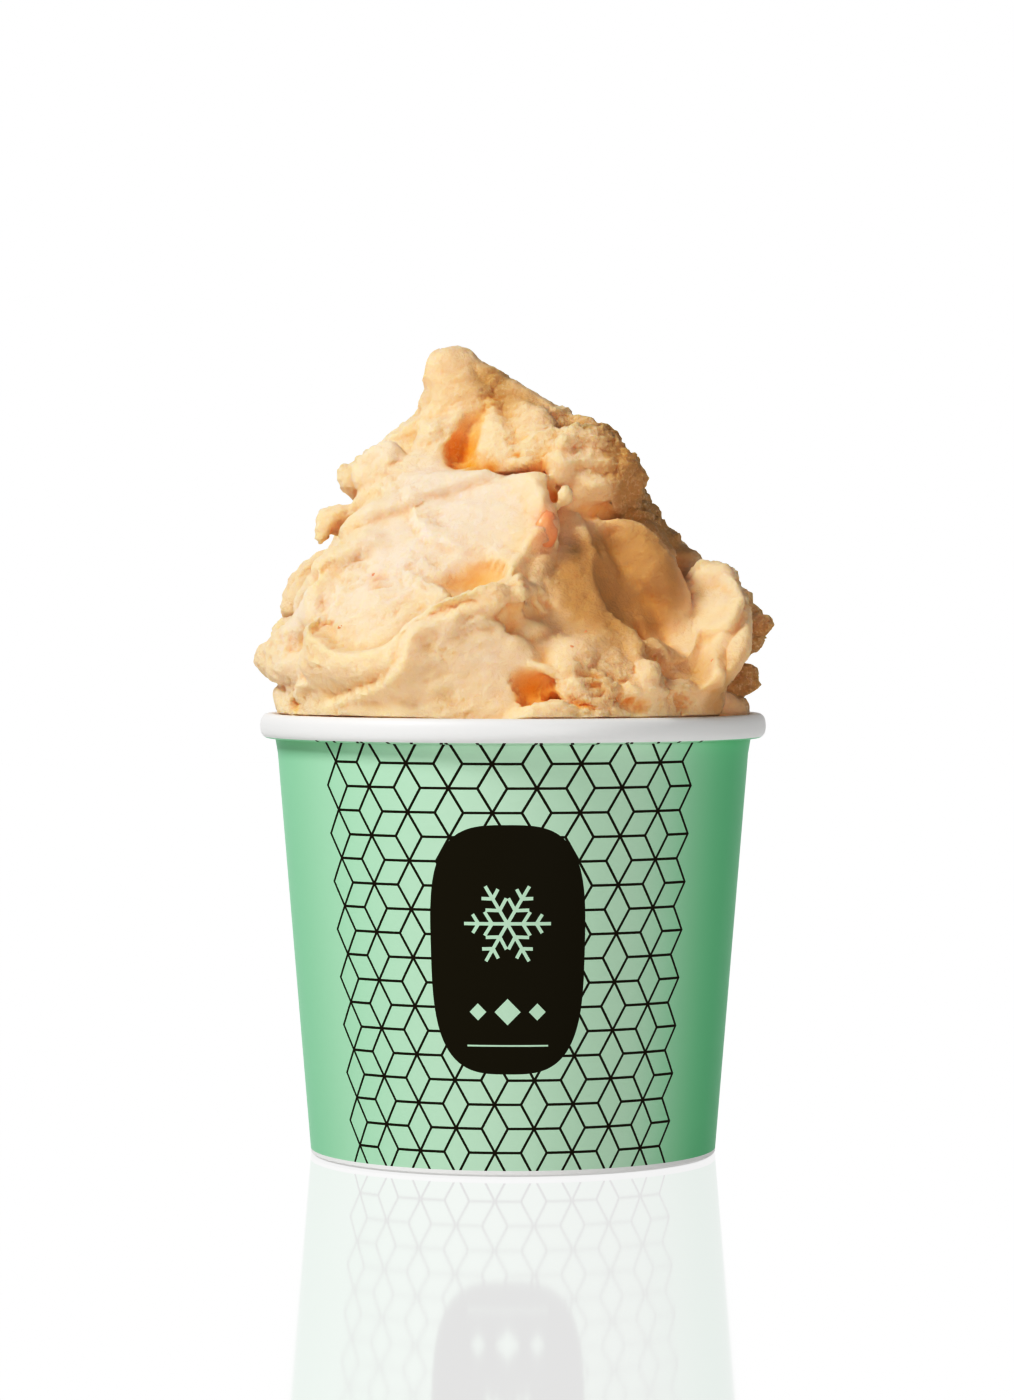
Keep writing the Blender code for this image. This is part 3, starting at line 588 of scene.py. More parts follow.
# Painted glow: places where the orange of light shining through thin or sunken cream, with the shade
# there, is painted in
PAINTED_GLOW = (
    Patch("cave_deep", seen(462, 450, -8), 3.6, 1.0),
    Patch("cave_floor", seen(466, 470, -11), 3.6, 1.0),
    Patch("cave_apex", seen(486, 402, -6), 2.0, 0.6),
    Patch("cave_edge_high", seen(478, 414, -8), 2.4, 0.8),
    Patch("cave_edge", seen(470, 430, -9), 3.0, 0.9),
    Patch("ledge_left", seen(492, 468, -12), 2.6, 0.8),
    Patch("cave_tongue", seen(514, 460, -13), 2.2, 0.7),
    Patch("ledge_right", seen(536, 466, -14), 2.6, 0.6),
    Patch("slab_pit", seen(461, 519, -20), 1.0, 0.8),
    Patch("dent_left", seen(452, 592, -28), 4.0, 0.35),
    Patch("dent_middle", seen(476, 580, -27), 4.6, 0.45),
    Patch("dent_right", seen(502, 564, -25), 4.0, 0.35),
    Patch("rim_hole", seen(530, 690, -36), 4.0, 0.9),
    Patch("rim_hole_right", seen(548, 694, -36), 3.0, 0.8),
    Patch("scoop_floor", seen(650, 626, -20), 5.5, 0.12),
    Patch("cavity_line", seen(600, 512, -10), 1.8, 0.5),
    Patch("crumb_crease_high", seen(596, 684, -38), 1.8, 0.6),
    Patch("crumb_crease_right", seen(630, 704, -36), 2.2, 0.8),
    Patch("crumb_crease_low", seen(586, 708, -39), 2.6, 0.8),
    Patch("petal_foot", seen(684, 708, -28), 2.0, 0.7),
    Patch("left_rim_hole", seen(293, 706, -20), 2.0, 0.7),
    Patch("left_facet", seen(298, 586, 0), 5.0, 0.4),
    Patch("nub", seen(554, 494, -18), 2.0, 0.5),
    Patch("lump_root", (12, -2, 113), 9.0, 0.2),
)

# Where fruit juice tints the cream
JUICE = (
    Patch("fruit_bit_high", seen(548, 520, -25), 2.6, 0.9),
    Patch("fruit_bit_low", seen(549, 538, -27), 2.6, 0.8),
    Patch("slab_fleck", seen(373, 575, -27), 1.7, 0.6),
    Patch("slope_fleck", seen(586, 632, -29), 1.8, 0.6),
    Patch("slope_fleck_low", seen(573, 647, -30), 1.2, 0.5),
    Patch("left_plate_fleck", seen(362, 648, -29), 1.4, 0.3),
)

# Painted shading: where painted shade makes the cream browner on faces the light misses, or painted
# light makes it paler on lit faces with a strength below 0
PAINTED_SHADING = (
    Patch("slab", seen(450, 510, -19), 13, -0.5),
    Patch("slab_low", seen(385, 590, -26), 12, -0.35),
    Patch("left_rolls", seen(325, 640, -16), 9, -0.4),
    Patch("petal", seen(710, 600, -15), 7, -0.15),
    Patch("left_shoulder", seen(390, 455, -8), 8, -0.2),
    Patch("horn", seen(442, 385, -2), 7, 0.14),
    Patch("peak_streak", seen(490, 385, -1), 4, 0.4),
    Patch("brow", seen(520, 415, -3), 7, 0.32),
    Patch("lump_left", seen(575, 455, -13), 6, -0.1),
    Patch("lump_right", seen(626, 468, -6), 8, 0.8),
    Patch("dark_flank", seen(655, 520, 0), 9, 1.0),
    Patch("scoop", seen(632, 580, -20), 9, 0.9),
    Patch("slope", seen(600, 600, -26), 10, 0.6),
    Patch("left_edge", seen(265, 660, -2), 7, 0.2),
    Patch("front_sheet", seen(460, 670, -38), 11, -0.15),
    Patch("petal_foot", seen(710, 692, -22), 7, 0.6),
    Patch("right_lobes", (43, 0, 88), 9, 0.6),
)

SMOOTH = (
    Patch("slope_high", seen(580, 580, -24), 10, 0.35),
    Patch("slope_low", seen(590, 640, -31), 9, 0.3),
    Patch("scoop", seen(636, 580, -19), 9, 0.4),
    Patch("slab", seen(480, 505, -16), 10, 0.4),
    Patch("front_sheet", seen(460, 670, -38), 12, 0.5),
    Patch("petal", seen(700, 630, -18), 9, 0.5),
    Patch("horn", seen(445, 370, -3), 6, 0.4),
)

FRUIT_BITS = (
    FruitBit("slab_corner_bit", 549, 529, 2.2, 3.2),
    FruitBit("slab_fleck", 373, 575, 1.0, 0.8),
    FruitBit("slope_fleck", 585, 632, 0.8, 1.0),
    FruitBit("petal_fleck", 712, 660, 0.6, 0.6),
    FruitBit("slope_fleck_low", 572, 646, 0.6, 0.4),
    FruitBit("left_plate_fleck", 340, 628, 0.6, 0.5),
)


def signed_power(values: np.ndarray, power: float) -> np.ndarray:
    """Raise sizes to a power and keep their signs."""
    return np.sign(values) * np.abs(values) ** power


def read_vectors(items: bpy.types.bpy_prop_collection, attribute: str) -> np.ndarray:
    """Read one vector from each item.

    Args:
        items: vertices, or a mesh's vertex normals.
        attribute: the vector's name.

    Returns:
        The vectors, one for each row.
    """
    values = np.empty(len(items) * 3, np.float32)
    items.foreach_get(attribute, values)
    return values.reshape(-1, 3).astype(float)


def move_vertices(mesh: bpy.types.Mesh, places: np.ndarray) -> None:
    """Put a mesh's vertices at the rows of an array."""
    mesh.vertices.foreach_set("co", places.astype(np.float32).ravel())
    mesh.update()


def deselect_all() -> None:
    """Leave no object selected, so that operators act on new ones only."""
    bpy.ops.object.select_all(action="DESELECT")


def make_active(item: bpy.types.Object) -> None:
    """Select one object alone and make it the active one."""
    deselect_all()
    item.select_set(True)
    bpy.context.view_layer.objects.active = item


def apply_modifiers(item: bpy.types.Object) -> None:
    """Apply all of an object's modifiers, in order."""
    make_active(item)
    for modifier in list(item.modifiers):
        bpy.ops.object.modifier_apply(modifier=modifier.name)


def to_collection(item: bpy.types.Object, collection: bpy.types.Collection) -> None:
    """Move an object from the scene's own collection to another."""
    bpy.context.scene.collection.objects.unlink(item)
    collection.objects.link(item)


def lattice_noise(spots: np.ndarray) -> np.ndarray:
    """Smooth gradient noise.

    Args:
        spots: points, one for each row.

    Returns:
        A value from about -0.7 to 0.7 for each point.
    """
    cells = np.floor(spots).astype(np.int64)
    local = spots - cells
    eased = local ** 3 * (local * (local * 6 - 15) + 10)
    total = np.zeros(len(spots))
    for corner in itertools.product((0, 1), repeat=3):
        corner = np.array(corner)
        knots = cells + corner
        mixed = knots[:, 0] * 73856093 ^ knots[:, 1] * 19349663 ^ knots[:, 2] * 83492791
        mixed = (mixed ^ mixed >> 13) * 1274126177 & 0xFFFFFFFF
        slopes = CUBE_EDGES[(mixed >> 15) % len(CUBE_EDGES)]
        weights = np.prod(np.where(corner, eased, 1 - eased), axis=1)
        total += weights * np.sum(slopes * (local - corner), axis=1)
    return total


CUBE_EDGES = np.array([edge for edge in itertools.product((-1, 0, 1), repeat=3)
                       if sum(map(abs, edge)) == 2], float)


def fractal_noise(spots: np.ndarray, octaves: int) -> np.ndarray:
    """Lattice noise summed at finer and finer scales."""
    return sum(lattice_noise(spots * 2.03 ** octave) * 0.55 ** octave for octave in range(octaves))


def ease(values: np.ndarray, low: float, high: float) -> np.ndarray:
    """Rise smoothly from 0 at the low value to 1 at the high one."""
    share = np.clip((values - low) / (high - low), 0, 1)
    return share * share * (3 - 2 * share)


def keep_largest_shell(item: bpy.types.Object) -> None:
    """Drop loose scraps and fill sealed hollows: only the shell with the most faces stays.

    Args:
        item: the object, whose mesh is changed.
    """
    shape = bmesh.new()
    shape.from_mesh(item.data)
    shape.faces.ensure_lookup_table()
    shell_of = [-1] * len(shape.faces)
    sizes: list[int] = []
    for seed in shape.faces:
        if shell_of[seed.index] >= 0:
            continue
        shell_of[seed.index] = len(sizes)
        front = [seed]
        count = 0
        while front:
            face = front.pop()
            count += 1
            for edge in face.edges:
                for other in edge.link_faces:
                    if shell_of[other.index] < 0:
                        shell_of[other.index] = len(sizes)
                        front.append(other)
        sizes.append(count)
    largest = sizes.index(max(sizes))
    loose = [face for face in shape.faces if shell_of[face.index] != largest]
    bmesh.ops.delete(shape, geom=loose, context="FACES")
    shape.to_mesh(item.data)
    shape.free()


def turned(name: str, outline: list[Spot], sides: int, closed: bool) -> bpy.types.Object:
    """Turn an outline about Z: a circle is extruded and resized ring by ring.

    Args:
        name: the object's name.
        outline: (radius, height) points, in millimetres.
        sides: segments round the axis.
        closed: whether the last ring joins the first. If not, both end rings are filled.

    Returns:
        The object, with its faces pointing out.
    """
    deselect_all()
    radius, height = outline[0]
    bpy.ops.mesh.primitive_circle_add(vertices=sides, radius=radius, location=(0, 0, height))
    item = bpy.context.object
    item.name = name
    bpy.ops.object.transform_apply(location=True, rotation=True, scale=True)
    bpy.ops.object.mode_set(mode="EDIT")
    bpy.ops.mesh.select_all(action="SELECT")
    if not closed:
        bpy.ops.mesh.edge_face_add()
    ends = outline[1:] + outline[:1] if closed else outline[1:]
    for next_radius, next_height in ends:
        bpy.ops.mesh.extrude_edges_move(TRANSFORM_OT_translate={"value": (0, 0, next_height - height)})
        growth = next_radius / radius
        bpy.ops.transform.resize(value=(growth, growth, 1), center_override=(0, 0, next_height))
        radius, height = next_radius, next_height
    if not closed:
        bpy.ops.mesh.edge_face_add()
    bpy.ops.mesh.select_all(action="SELECT")
    bpy.ops.mesh.remove_doubles(threshold=0.001)
    bpy.ops.mesh.normals_make_consistent(inside=False)
    bpy.ops.object.mode_set(mode="OBJECT")
    return item


def finish_piece(item: bpy.types.Object, name: str, slot: str, *nodes: str) -> None:
    """Bring a piece to metres, name it, and tie it to the frame.

    Args:
        item: the piece, at the origin and in millimetres.
        name: its name.
        slot: the record's material slot for the piece; not used.
        nodes: the solids that it stands for.
    """
    item.name = name
    item.data.transform(Matrix.Scale(MM, 4))
    item.data.update()
    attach(item, "root")
    if nodes:
        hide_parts(*nodes)
    low, high = (Vector(corner) for corner in (item.bound_box[0], item.bound_box[6]))
    LOG.info("%s: %d faces, %s mm", name, len(item.data.polygons),
             [round(side / MM, 1) for side in high - low])


class Signal:
    """A number that a material's nodes work out; arithmetic on it adds Math nodes."""

    def __init__(self, tree: bpy.types.NodeTree, source: bpy.types.NodeSocket) -> None:
        """Wrap a node's output socket."""
        self.tree = tree
        self.source = source

    def join(self, operation: str, *others: Signal | float) -> Signal:
        """Add a Math node.

        Args:
            operation: what the node does.
            others: the numbers that this one is joined with.

        Returns:
            The node's result.
        """
        node = self.tree.nodes.new("ShaderNodeMath")
        node.operation = operation
        self.tree.links.new(self.source, node.inputs[0])
        for socket, other in zip(list(node.inputs)[1:], others):
            if isinstance(other, Signal):
                self.tree.links.new(other.source, socket)
            else:
                socket.default_value = other
        return Signal(self.tree, node.outputs[0])

    def __add__(self, other: Signal | float) -> Signal:
        """Sum."""
        return self.join("ADD", other)

    def __sub__(self, other: Signal | float) -> Signal:
        """Difference."""
        return self.join("SUBTRACT", other)

    def __mul__(self, other: Signal | float) -> Signal:
        """Product."""
        return self.join("MULTIPLY", other)

    def __truediv__(self, other: Signal | float) -> Signal:
        """Quotient."""
        return self.join("DIVIDE", other)

    def __lt__(self, other: Signal | float) -> Signal:
        """1 where this is the smaller one, else 0."""
        return self.join("LESS_THAN", other)

    def __gt__(self, other: Signal | float) -> Signal:
        """1 where this is the larger one, else 0."""
        return self.join("GREATER_THAN", other)

    def __abs__(self) -> Signal:
        """Size without sign."""
        return self.join("ABSOLUTE")

    def smaller(self, other: Signal | float) -> Signal:
        """The smaller of two numbers."""
        return self.join("MINIMUM", other)

    def larger(self, other: Signal | float) -> Signal:
        """The larger of two numbers."""
        return self.join("MAXIMUM", other)

    def root(self) -> Signal:
        """Square root."""
        return self.join("SQRT")

    def wrapped(self, period: float) -> Signal:
        """This number wrapped into the period round zero."""
        return self.join("WRAP", period / 2, -period / 2)

    def within(self, low: float, high: float) -> Signal:
        """Rise smoothly between two values.

        Args:
            low: where the result is 0.
            high: where it is 1.

        Returns:
            The result, from 0 to 1.
        """
        node = self.tree.nodes.new("ShaderNodeMapRange")
        node.interpolation_type = "SMOOTHSTEP"
        self.tree.links.new(self.source, node.inputs["Value"])
        node.inputs["From Min"].default_value = low
        node.inputs["From Max"].default_value = high
        return Signal(self.tree, node.outputs["Result"])


class Finish:
    """A new material with a Principled shader, and short ways to feed it."""

    def __init__(self, name: str) -> None:
        """Start the material."""
        self.material = bpy.data.materials.new(name)
        self.material.use_nodes = True
        self.tree = self.material.node_tree
        self.shader = self.tree.nodes["Principled BSDF"]
        self.place = self.tree.nodes.new("ShaderNodeTexCoord").outputs["Object"]

    def set(self, **values: float | Colour) -> None:
        """Set the shader's own sockets; an underscore in a name stands for a space."""
        for name, value in values.items():
            self.shader.inputs[name.replace("_", " ")].default_value = value

    def axes(self) -> tuple[Signal, Signal, Signal]:
        """The place on the piece.

        Returns:
            Millimetres along X, Y and Z.
        """
        node = self.tree.nodes.new("ShaderNodeSeparateXYZ")
        self.tree.links.new(self.place, node.inputs[0])
        return tuple(Signal(self.tree, socket) / MM for socket in node.outputs)

    def noise(self, wavelength: float, detail: float = 3.0, roughness: float = 0.5,
              stretch: Point = (1.0, 1.0, 1.0)) -> Signal:
        """Noise from 0 to 1.

        Args:
            wavelength: the size of its largest swells, in millimetres.
            detail: octaves of finer noise.
            roughness: how strong each finer octave is.
            stretch: how much longer the swells are along each axis.

        Returns:
            The noise's value.
        """
        mapping = self.tree.nodes.new("ShaderNodeMapping")
        mapping.inputs["Scale"].default_value = [1 / (wavelength * MM * share) for share in stretch]
        self.tree.links.new(self.place, mapping.inputs["Vector"])
        node = self.tree.nodes.new("ShaderNodeTexNoise")
        node.inputs["Scale"].default_value = 1.0
        node.inputs["Detail"].default_value = detail
        node.inputs["Roughness"].default_value = roughness
        self.tree.links.new(mapping.outputs["Vector"], node.inputs["Vector"])
        return Signal(self.tree, node.outputs["Fac"])

    def attribute(self, name: str) -> Signal:
        """A number painted on the piece's vertices.

        Args:
            name: the attribute's name.

        Returns:
            Its value.
        """
        node = self.tree.nodes.new("ShaderNodeAttribute")
        node.attribute_name = name
        return Signal(self.tree, node.outputs["Fac"])

    def mix(self, share: Signal, first: Colour | bpy.types.NodeSocket,
            second: Colour | bpy.types.NodeSocket) -> bpy.types.NodeSocket:
        """Mix two colours.

        Args:
            share: 0 for the first, 1 for the second.
            first: a colour, or a socket that gives one.
            second: the same.

        Returns:
            The socket with the mixed colour.
        """
        node = self.tree.nodes.new("ShaderNodeMix")
        node.data_type = "RGBA"
        self.tree.links.new(share.source, node.inputs["Factor"])
        for socket, colour in ((node.inputs[6], first), (node.inputs[7], second)):
            if isinstance(colour, bpy.types.NodeSocket):
                self.tree.links.new(colour, socket)
            else:
                socket.default_value = colour
        return node.outputs[2]

    def colour(self, socket: bpy.types.NodeSocket) -> None:
        """Feed the base colour."""
        self.tree.links.new(socket, self.shader.inputs["Base Color"])

    def roughness(self, value: Signal) -> None:
        """Feed the roughness."""
        self.tree.links.new(value.source, self.shader.inputs["Roughness"])

    def bump(self, height: Signal, depth: float, strength: float = 1.0) -> None:
        """Feed the normal from a height field.

        Args:
            height: the field, from 0 to 1.
            depth: the relief that 1 stands for, in millimetres.
            strength: the share of the effect.
        """
        node = self.tree.nodes.new("ShaderNodeBump")
        node.inputs["Strength"].default_value = strength
        node.inputs["Distance"].default_value = depth * MM
        self.tree.links.new(height.source, node.inputs["Height"])
        self.tree.links.new(node.outputs["Normal"], self.shader.inputs["Normal"])


def tone(red: int, green: int, blue: int) -> Colour:
    """A linear colour from screen values.

    Args:
        red: red, from 0 to 255.
        green: green.
        blue: blue.

    Returns:
        The colour, with full opacity.
    """
    def linear(value: int) -> float:
        share = value / 255
        return share / 12.92 if share <= 0.04045 else ((share + 0.055) / 1.055) ** 2.4
    return linear(red), linear(green), linear(blue), 1.0


@dataclass(frozen=True)
class GelatoFinish:
    """Soft frozen cream, frosty where torn, with painted light and shade: paler on the lit faces,
    browner on the shaded ones, orange in the hollows.
    """

    cream: Colour = tone(253, 223, 200)
    butter: Colour = tone(250, 215, 178)
    # Brown for torn cream and for painted shade on faces the light misses
    tan_and_painted_shade: Colour = tone(203, 162, 112)
    # Darker orange for the painted shade and glow in covered hollows and small dips
    painted_hollow_shade: Colour = tone(240, 186, 104)
    # Deep orange for the painted glow of light through thin or sunken cream
    amber: Colour = tone(238, 158, 4)
    juice: Colour = tone(240, 168, 128)
    frost: Colour = tone(254, 233, 205)

    def make(self) -> bpy.types.Material:
        """Build the material.

        Returns:
            The material.
        """
        finish = Finish("gelato_cream")
        warm = finish.attribute("warm") + finish.noise(9.0, 3.0, 0.55) * 0.5 - 0.25
        hollow = finish.attribute("hollow")
        torn = finish.attribute("torn")
        grain = finish.noise(0.7, 4.0, 0.65)
        speckle = grain.within(0.5, 0.66) * torn
        # Cream, then butter, then brown by warmth with painted shading: painted shade browns the faces
        # the light misses, painted light keeps the lit faces cream
        base = finish.mix(warm.within(0.0, 0.5), self.cream, self.butter)
        base = finish.mix(warm.within(0.5, 1.0), base, self.tan_and_painted_shade)
        # Painted shade and glow: hollows that other folds cover, and small dips, turn a darker orange
        base = finish.mix(hollow.within(0.25, 0.95) * 0.7, base, self.painted_hollow_shade)
        base = finish.mix(finish.attribute("pit") * 0.3, base, self.painted_hollow_shade)
        # Painted glow: the orange of light shining through thin or sunken cream, and its shade
        base = finish.mix(finish.attribute("amber"), base, self.amber)
        base = finish.mix(finish.attribute("juice"), base, self.juice)
        base = finish.mix(speckle * 0.4, base, self.frost)
        finish.colour(base)
        finish.set(Subsurface_Weight=0.7, Subsurface_Scale=0.0025, Specular_IOR_Level=0.12)
        finish.shader.inputs["Subsurface Radius"].default_value = (1.0, 0.78, 0.42)
        finish.roughness(grain * 0.25 + 0.42)
        pits = finish.noise(2.4, 5.0, 0.6)
        finish.bump(grain * (torn * 0.7 + 0.5) + pits * (torn * 0.8 + 0.3), 0.55, 0.9)
        return finish.material


@dataclass(frozen=True)
class PaperFinish:
    """Coated white paper with a faint fibre."""

    white: Colour = tone(233, 232, 230)
    shade: Colour = tone(232, 232, 230)

    def make(self) -> bpy.types.Material:
        """Build the material.

        Returns:
            The material.
        """
        finish = Finish("white_paper")
        fibre = finish.noise(0.9, 3.0, 0.6, (1.0, 1.0, 0.4))
        finish.colour(finish.mix(fibre.within(0.4, 0.7), self.white, self.shade))
        finish.roughness(fibre * 0.15 + 0.38)
        finish.bump(fibre, 0.03)
        return finish.material


@dataclass(frozen=True)
class MintPrintFinish:
    """Mint print with a band of tumbling blocks in front, and a dark badge with a snow crystal."""

    # Paler mint for the painted highlight on the tub's front
    mint_painted_highlight: Colour = tone(197, 225, 201)
    mint: Colour = tone(134, 206, 162)
    ink: Colour = tone(42, 37, 22)
    block_side: float = 4.8
    mean_radius: float = 39.4
    band_columns: float = 31.0
    line_width: float = 0.42
    set_off: float = 1.0
    badge_centre: float = 39.0
    badge_half_width: float = 13.4
    badge_half_height: float = 21.3
    badge_round: float = 3.2
    crystal_height: float = 43.5
    crystal_arm: float = 7.4
    barbs: tuple[Spot, ...] = ((2.6, 2.4), (4.9, 1.9))
    barb_angle: float = 58.0
    motif_line: float = 0.62
    lozenges_height: float = 28.4
    lozenge_sizes: tuple[Spot, ...] = ((-5.2, 1.5), (0.0, 2.3), (5.2, 1.5))
    rule_height: float = 22.6
    rule_half_width: float = 7.2
    rule_half_line: float = 0.16

    def reach(self, x: Signal, y: Signal, angles: tuple[int, ...]) -> Signal:
        """How far out a place in a hexagon lies.

        Args:
            x: the place's distance across from the hexagon's centre.
            y: its distance up.
            angles: the directions, in degrees, that the distance is measured along.

        Returns:
            The largest of the distances.
        """
        farthest = None
        for angle in angles:
            turn = math.radians(angle)
            distance = abs(x * math.cos(turn) + y * math.sin(turn))
            farthest = distance if farthest is None else farthest.larger(distance)
        return farthest

    def blocks(self, across: Signal, up: Signal) -> Signal:
        """The tumbling blocks' lines: hexagons with a three-armed star in each.

        Args:
            across: distance round the tub from its front, in millimetres.
            up: height, in millimetres.

        Returns:
            1 on a line and 0 off it.
        """
        side = self.block_side
        tall = side * math.sqrt(3)
        near_x, near_y = across.wrapped(3 * side), up.wrapped(tall)
        far_x, far_y = (across - 1.5 * side).wrapped(3 * side), (up - tall / 2).wrapped(tall)
        far_is_closer = (far_x * far_x + far_y * far_y) < (near_x * near_x + near_y * near_y)
        x = near_x + (far_x - near_x) * far_is_closer
        y = near_y + (far_y - near_y) * far_is_closer
        closest = abs(self.reach(x, y, (30, 90, 150)) * -1.0 + tall / 2)
        for angle in (0, 120, 240):
            turn = math.radians(angle)
            ahead = x * math.cos(turn) + y * math.sin(turn)
            aside = abs(x * math.sin(turn) - y * math.cos(turn))
            closest = closest.smaller(aside + (ahead < 0.0) * side)
        column = abs(across - x)
        inside = (closest < self.line_width / 2) * (column < self.band_columns)
        border = self.reach(x, y, (30, 150))
        outside = (abs(border - tall / 2) < self.line_width / 2) * (x * across < 0.0)
        outside = outside * (column > self.band_columns) * (column < self.band_columns + 1.5 * side)
        return inside.larger(outside)

    def badge(self, across: Signal, up: Signal) -> Signal:
        """The badge, a rounded upright field.

        Args:
            across: distance round the tub from its front, in millimetres.
            up: height, in millimetres.

        Returns:
            1 on the badge and 0 off it.
        """
        x = abs(across) / self.badge_half_width
        y = abs(up - self.badge_centre) / self.badge_half_height
        return (x.join("POWER", self.badge_round) + y.join("POWER", self.badge_round)) < 1.0

    def crystal(self, across: Signal, up: Signal) -> Signal:
        """A six-armed snow crystal: arms with two pairs of barbs, by folding the plane to one arm.

        Args:
            across: distance round the tub from its front, in millimetres.
            up: height, in millimetres.

        Returns:
            1 on the crystal and 0 off it.
        """
        x, y = across, up - self.crystal_height
        radius = (x * x + y * y).root()
        angle = y.join("ARCTAN2", x).wrapped(math.pi / 3)
        along = radius * angle.join("COSINE")
        aside = abs(radius * angle.join("SINE"))
        half = self.motif_line / 2
        shape = (aside < half) * (along < self.crystal_arm)
        for start, length in self.barbs:
            turn = math.radians(self.barb_angle)
            forward = (along - start) * math.cos(turn) + aside * math.sin(turn)
            off = abs((along - start) * math.sin(turn) - aside * math.cos(turn))
            shape = shape.larger((off < half) * (forward > 0.0) * (forward < length))
        return shape

    def lozenges(self, across: Signal, up: Signal) -> Signal:
        """Three small lozenges in a row over a thin line.

        Args:
            across: distance round the tub from its front, in millimetres.
            up: height, in millimetres.

        Returns:
            1 on them and 0 off them.
        """
        shape = (abs(up - self.rule_height) < self.rule_half_line) * (abs(across) < self.rule_half_width)
        for centre, size in self.lozenge_sizes:
            shape = shape.larger((abs(across - centre) + abs(up - self.lozenges_height)) < size)
        return shape

    def make(self) -> bpy.types.Material:
        """Build the material.

        Returns:
            The material.
        """
        finish = Finish("mint_print")
        x, y, up = finish.axes()
        across = x.join("ARCTAN2", y * -1.0) * self.mean_radius + self.set_off
        badge = self.badge(across, up)
        motif = self.crystal(across, up).larger(self.lozenges(across, up))
        dark = self.blocks(across, up).larger(badge) * (motif * -1.0 + 1.0)
        # Painted highlight: the front of the tub, where the light and the paper's broad sheen fall, is
        # painted a paler mint
        painted_highlight = across.within(-80.0, 5.0) * (across * -1.0).within(-48.0, -20.0)
        fibre = finish.noise(0.8, 3.0, 0.6, (1.0, 1.0, 0.4))
        ground = finish.mix(painted_highlight, self.mint, self.mint_painted_highlight)
        finish.colour(finish.mix(dark, ground, self.ink))
        finish.roughness(fibre * 0.12 + 0.27 + dark * 0.06)
        finish.bump(fibre * 0.5 + dark * 0.4, 0.02)
        finish.set(Specular_IOR_Level=0.02)
        return finish.material


@dataclass(frozen=True)
class FruitFinish:
    """Glossy orange fruit, redder in random patches."""

    orange: Colour = tone(244, 170, 120)
    coral: Colour = tone(241, 154, 116)

    def make(self) -> bpy.types.Material:
        """Build the material.

        Returns:
            The material.
        """
        finish = Finish("fruit_flesh")
        blush = finish.noise(5.0, 2.0).within(0.4, 0.6)
        finish.colour(finish.mix(blush, self.orange, self.coral))
        skin = finish.noise(0.6, 3.0)
        finish.roughness(skin * 0.2 + 0.25)
        finish.bump(skin, 0.08)
        finish.set(Subsurface_Weight=0.4, Subsurface_Scale=0.0015)
        finish.shader.inputs["Subsurface Radius"].default_value = (1.0, 0.4, 0.15)
        return finish.material


@dataclass(frozen=True)
class BoardFinish:
    """The bottom disc's matt board, with a faint press ring."""

    board: Colour = tone(238, 238, 234)
    ring: Colour = tone(226, 226, 221)
    ring_radius: float = 30.5

    def make(self) -> bpy.types.Material:
        """Build the material.

        Returns:
            The material.
        """
        finish = Finish("base_board")
        x, y, _ = finish.axes()
        radius = (x * x + y * y).root()
        ring = (abs(radius - self.ring_radius) * -1.0).within(-0.7, -0.1)
        fibre = finish.noise(1.1, 4.0, 0.6)
        finish.colour(finish.mix(ring.larger(fibre.within(0.5, 0.8) * 0.6), self.board, self.ring))
        finish.roughness(fibre * 0.15 + 0.5)
        finish.bump(fibre * 0.3 + ring, 0.06)
        return finish.material


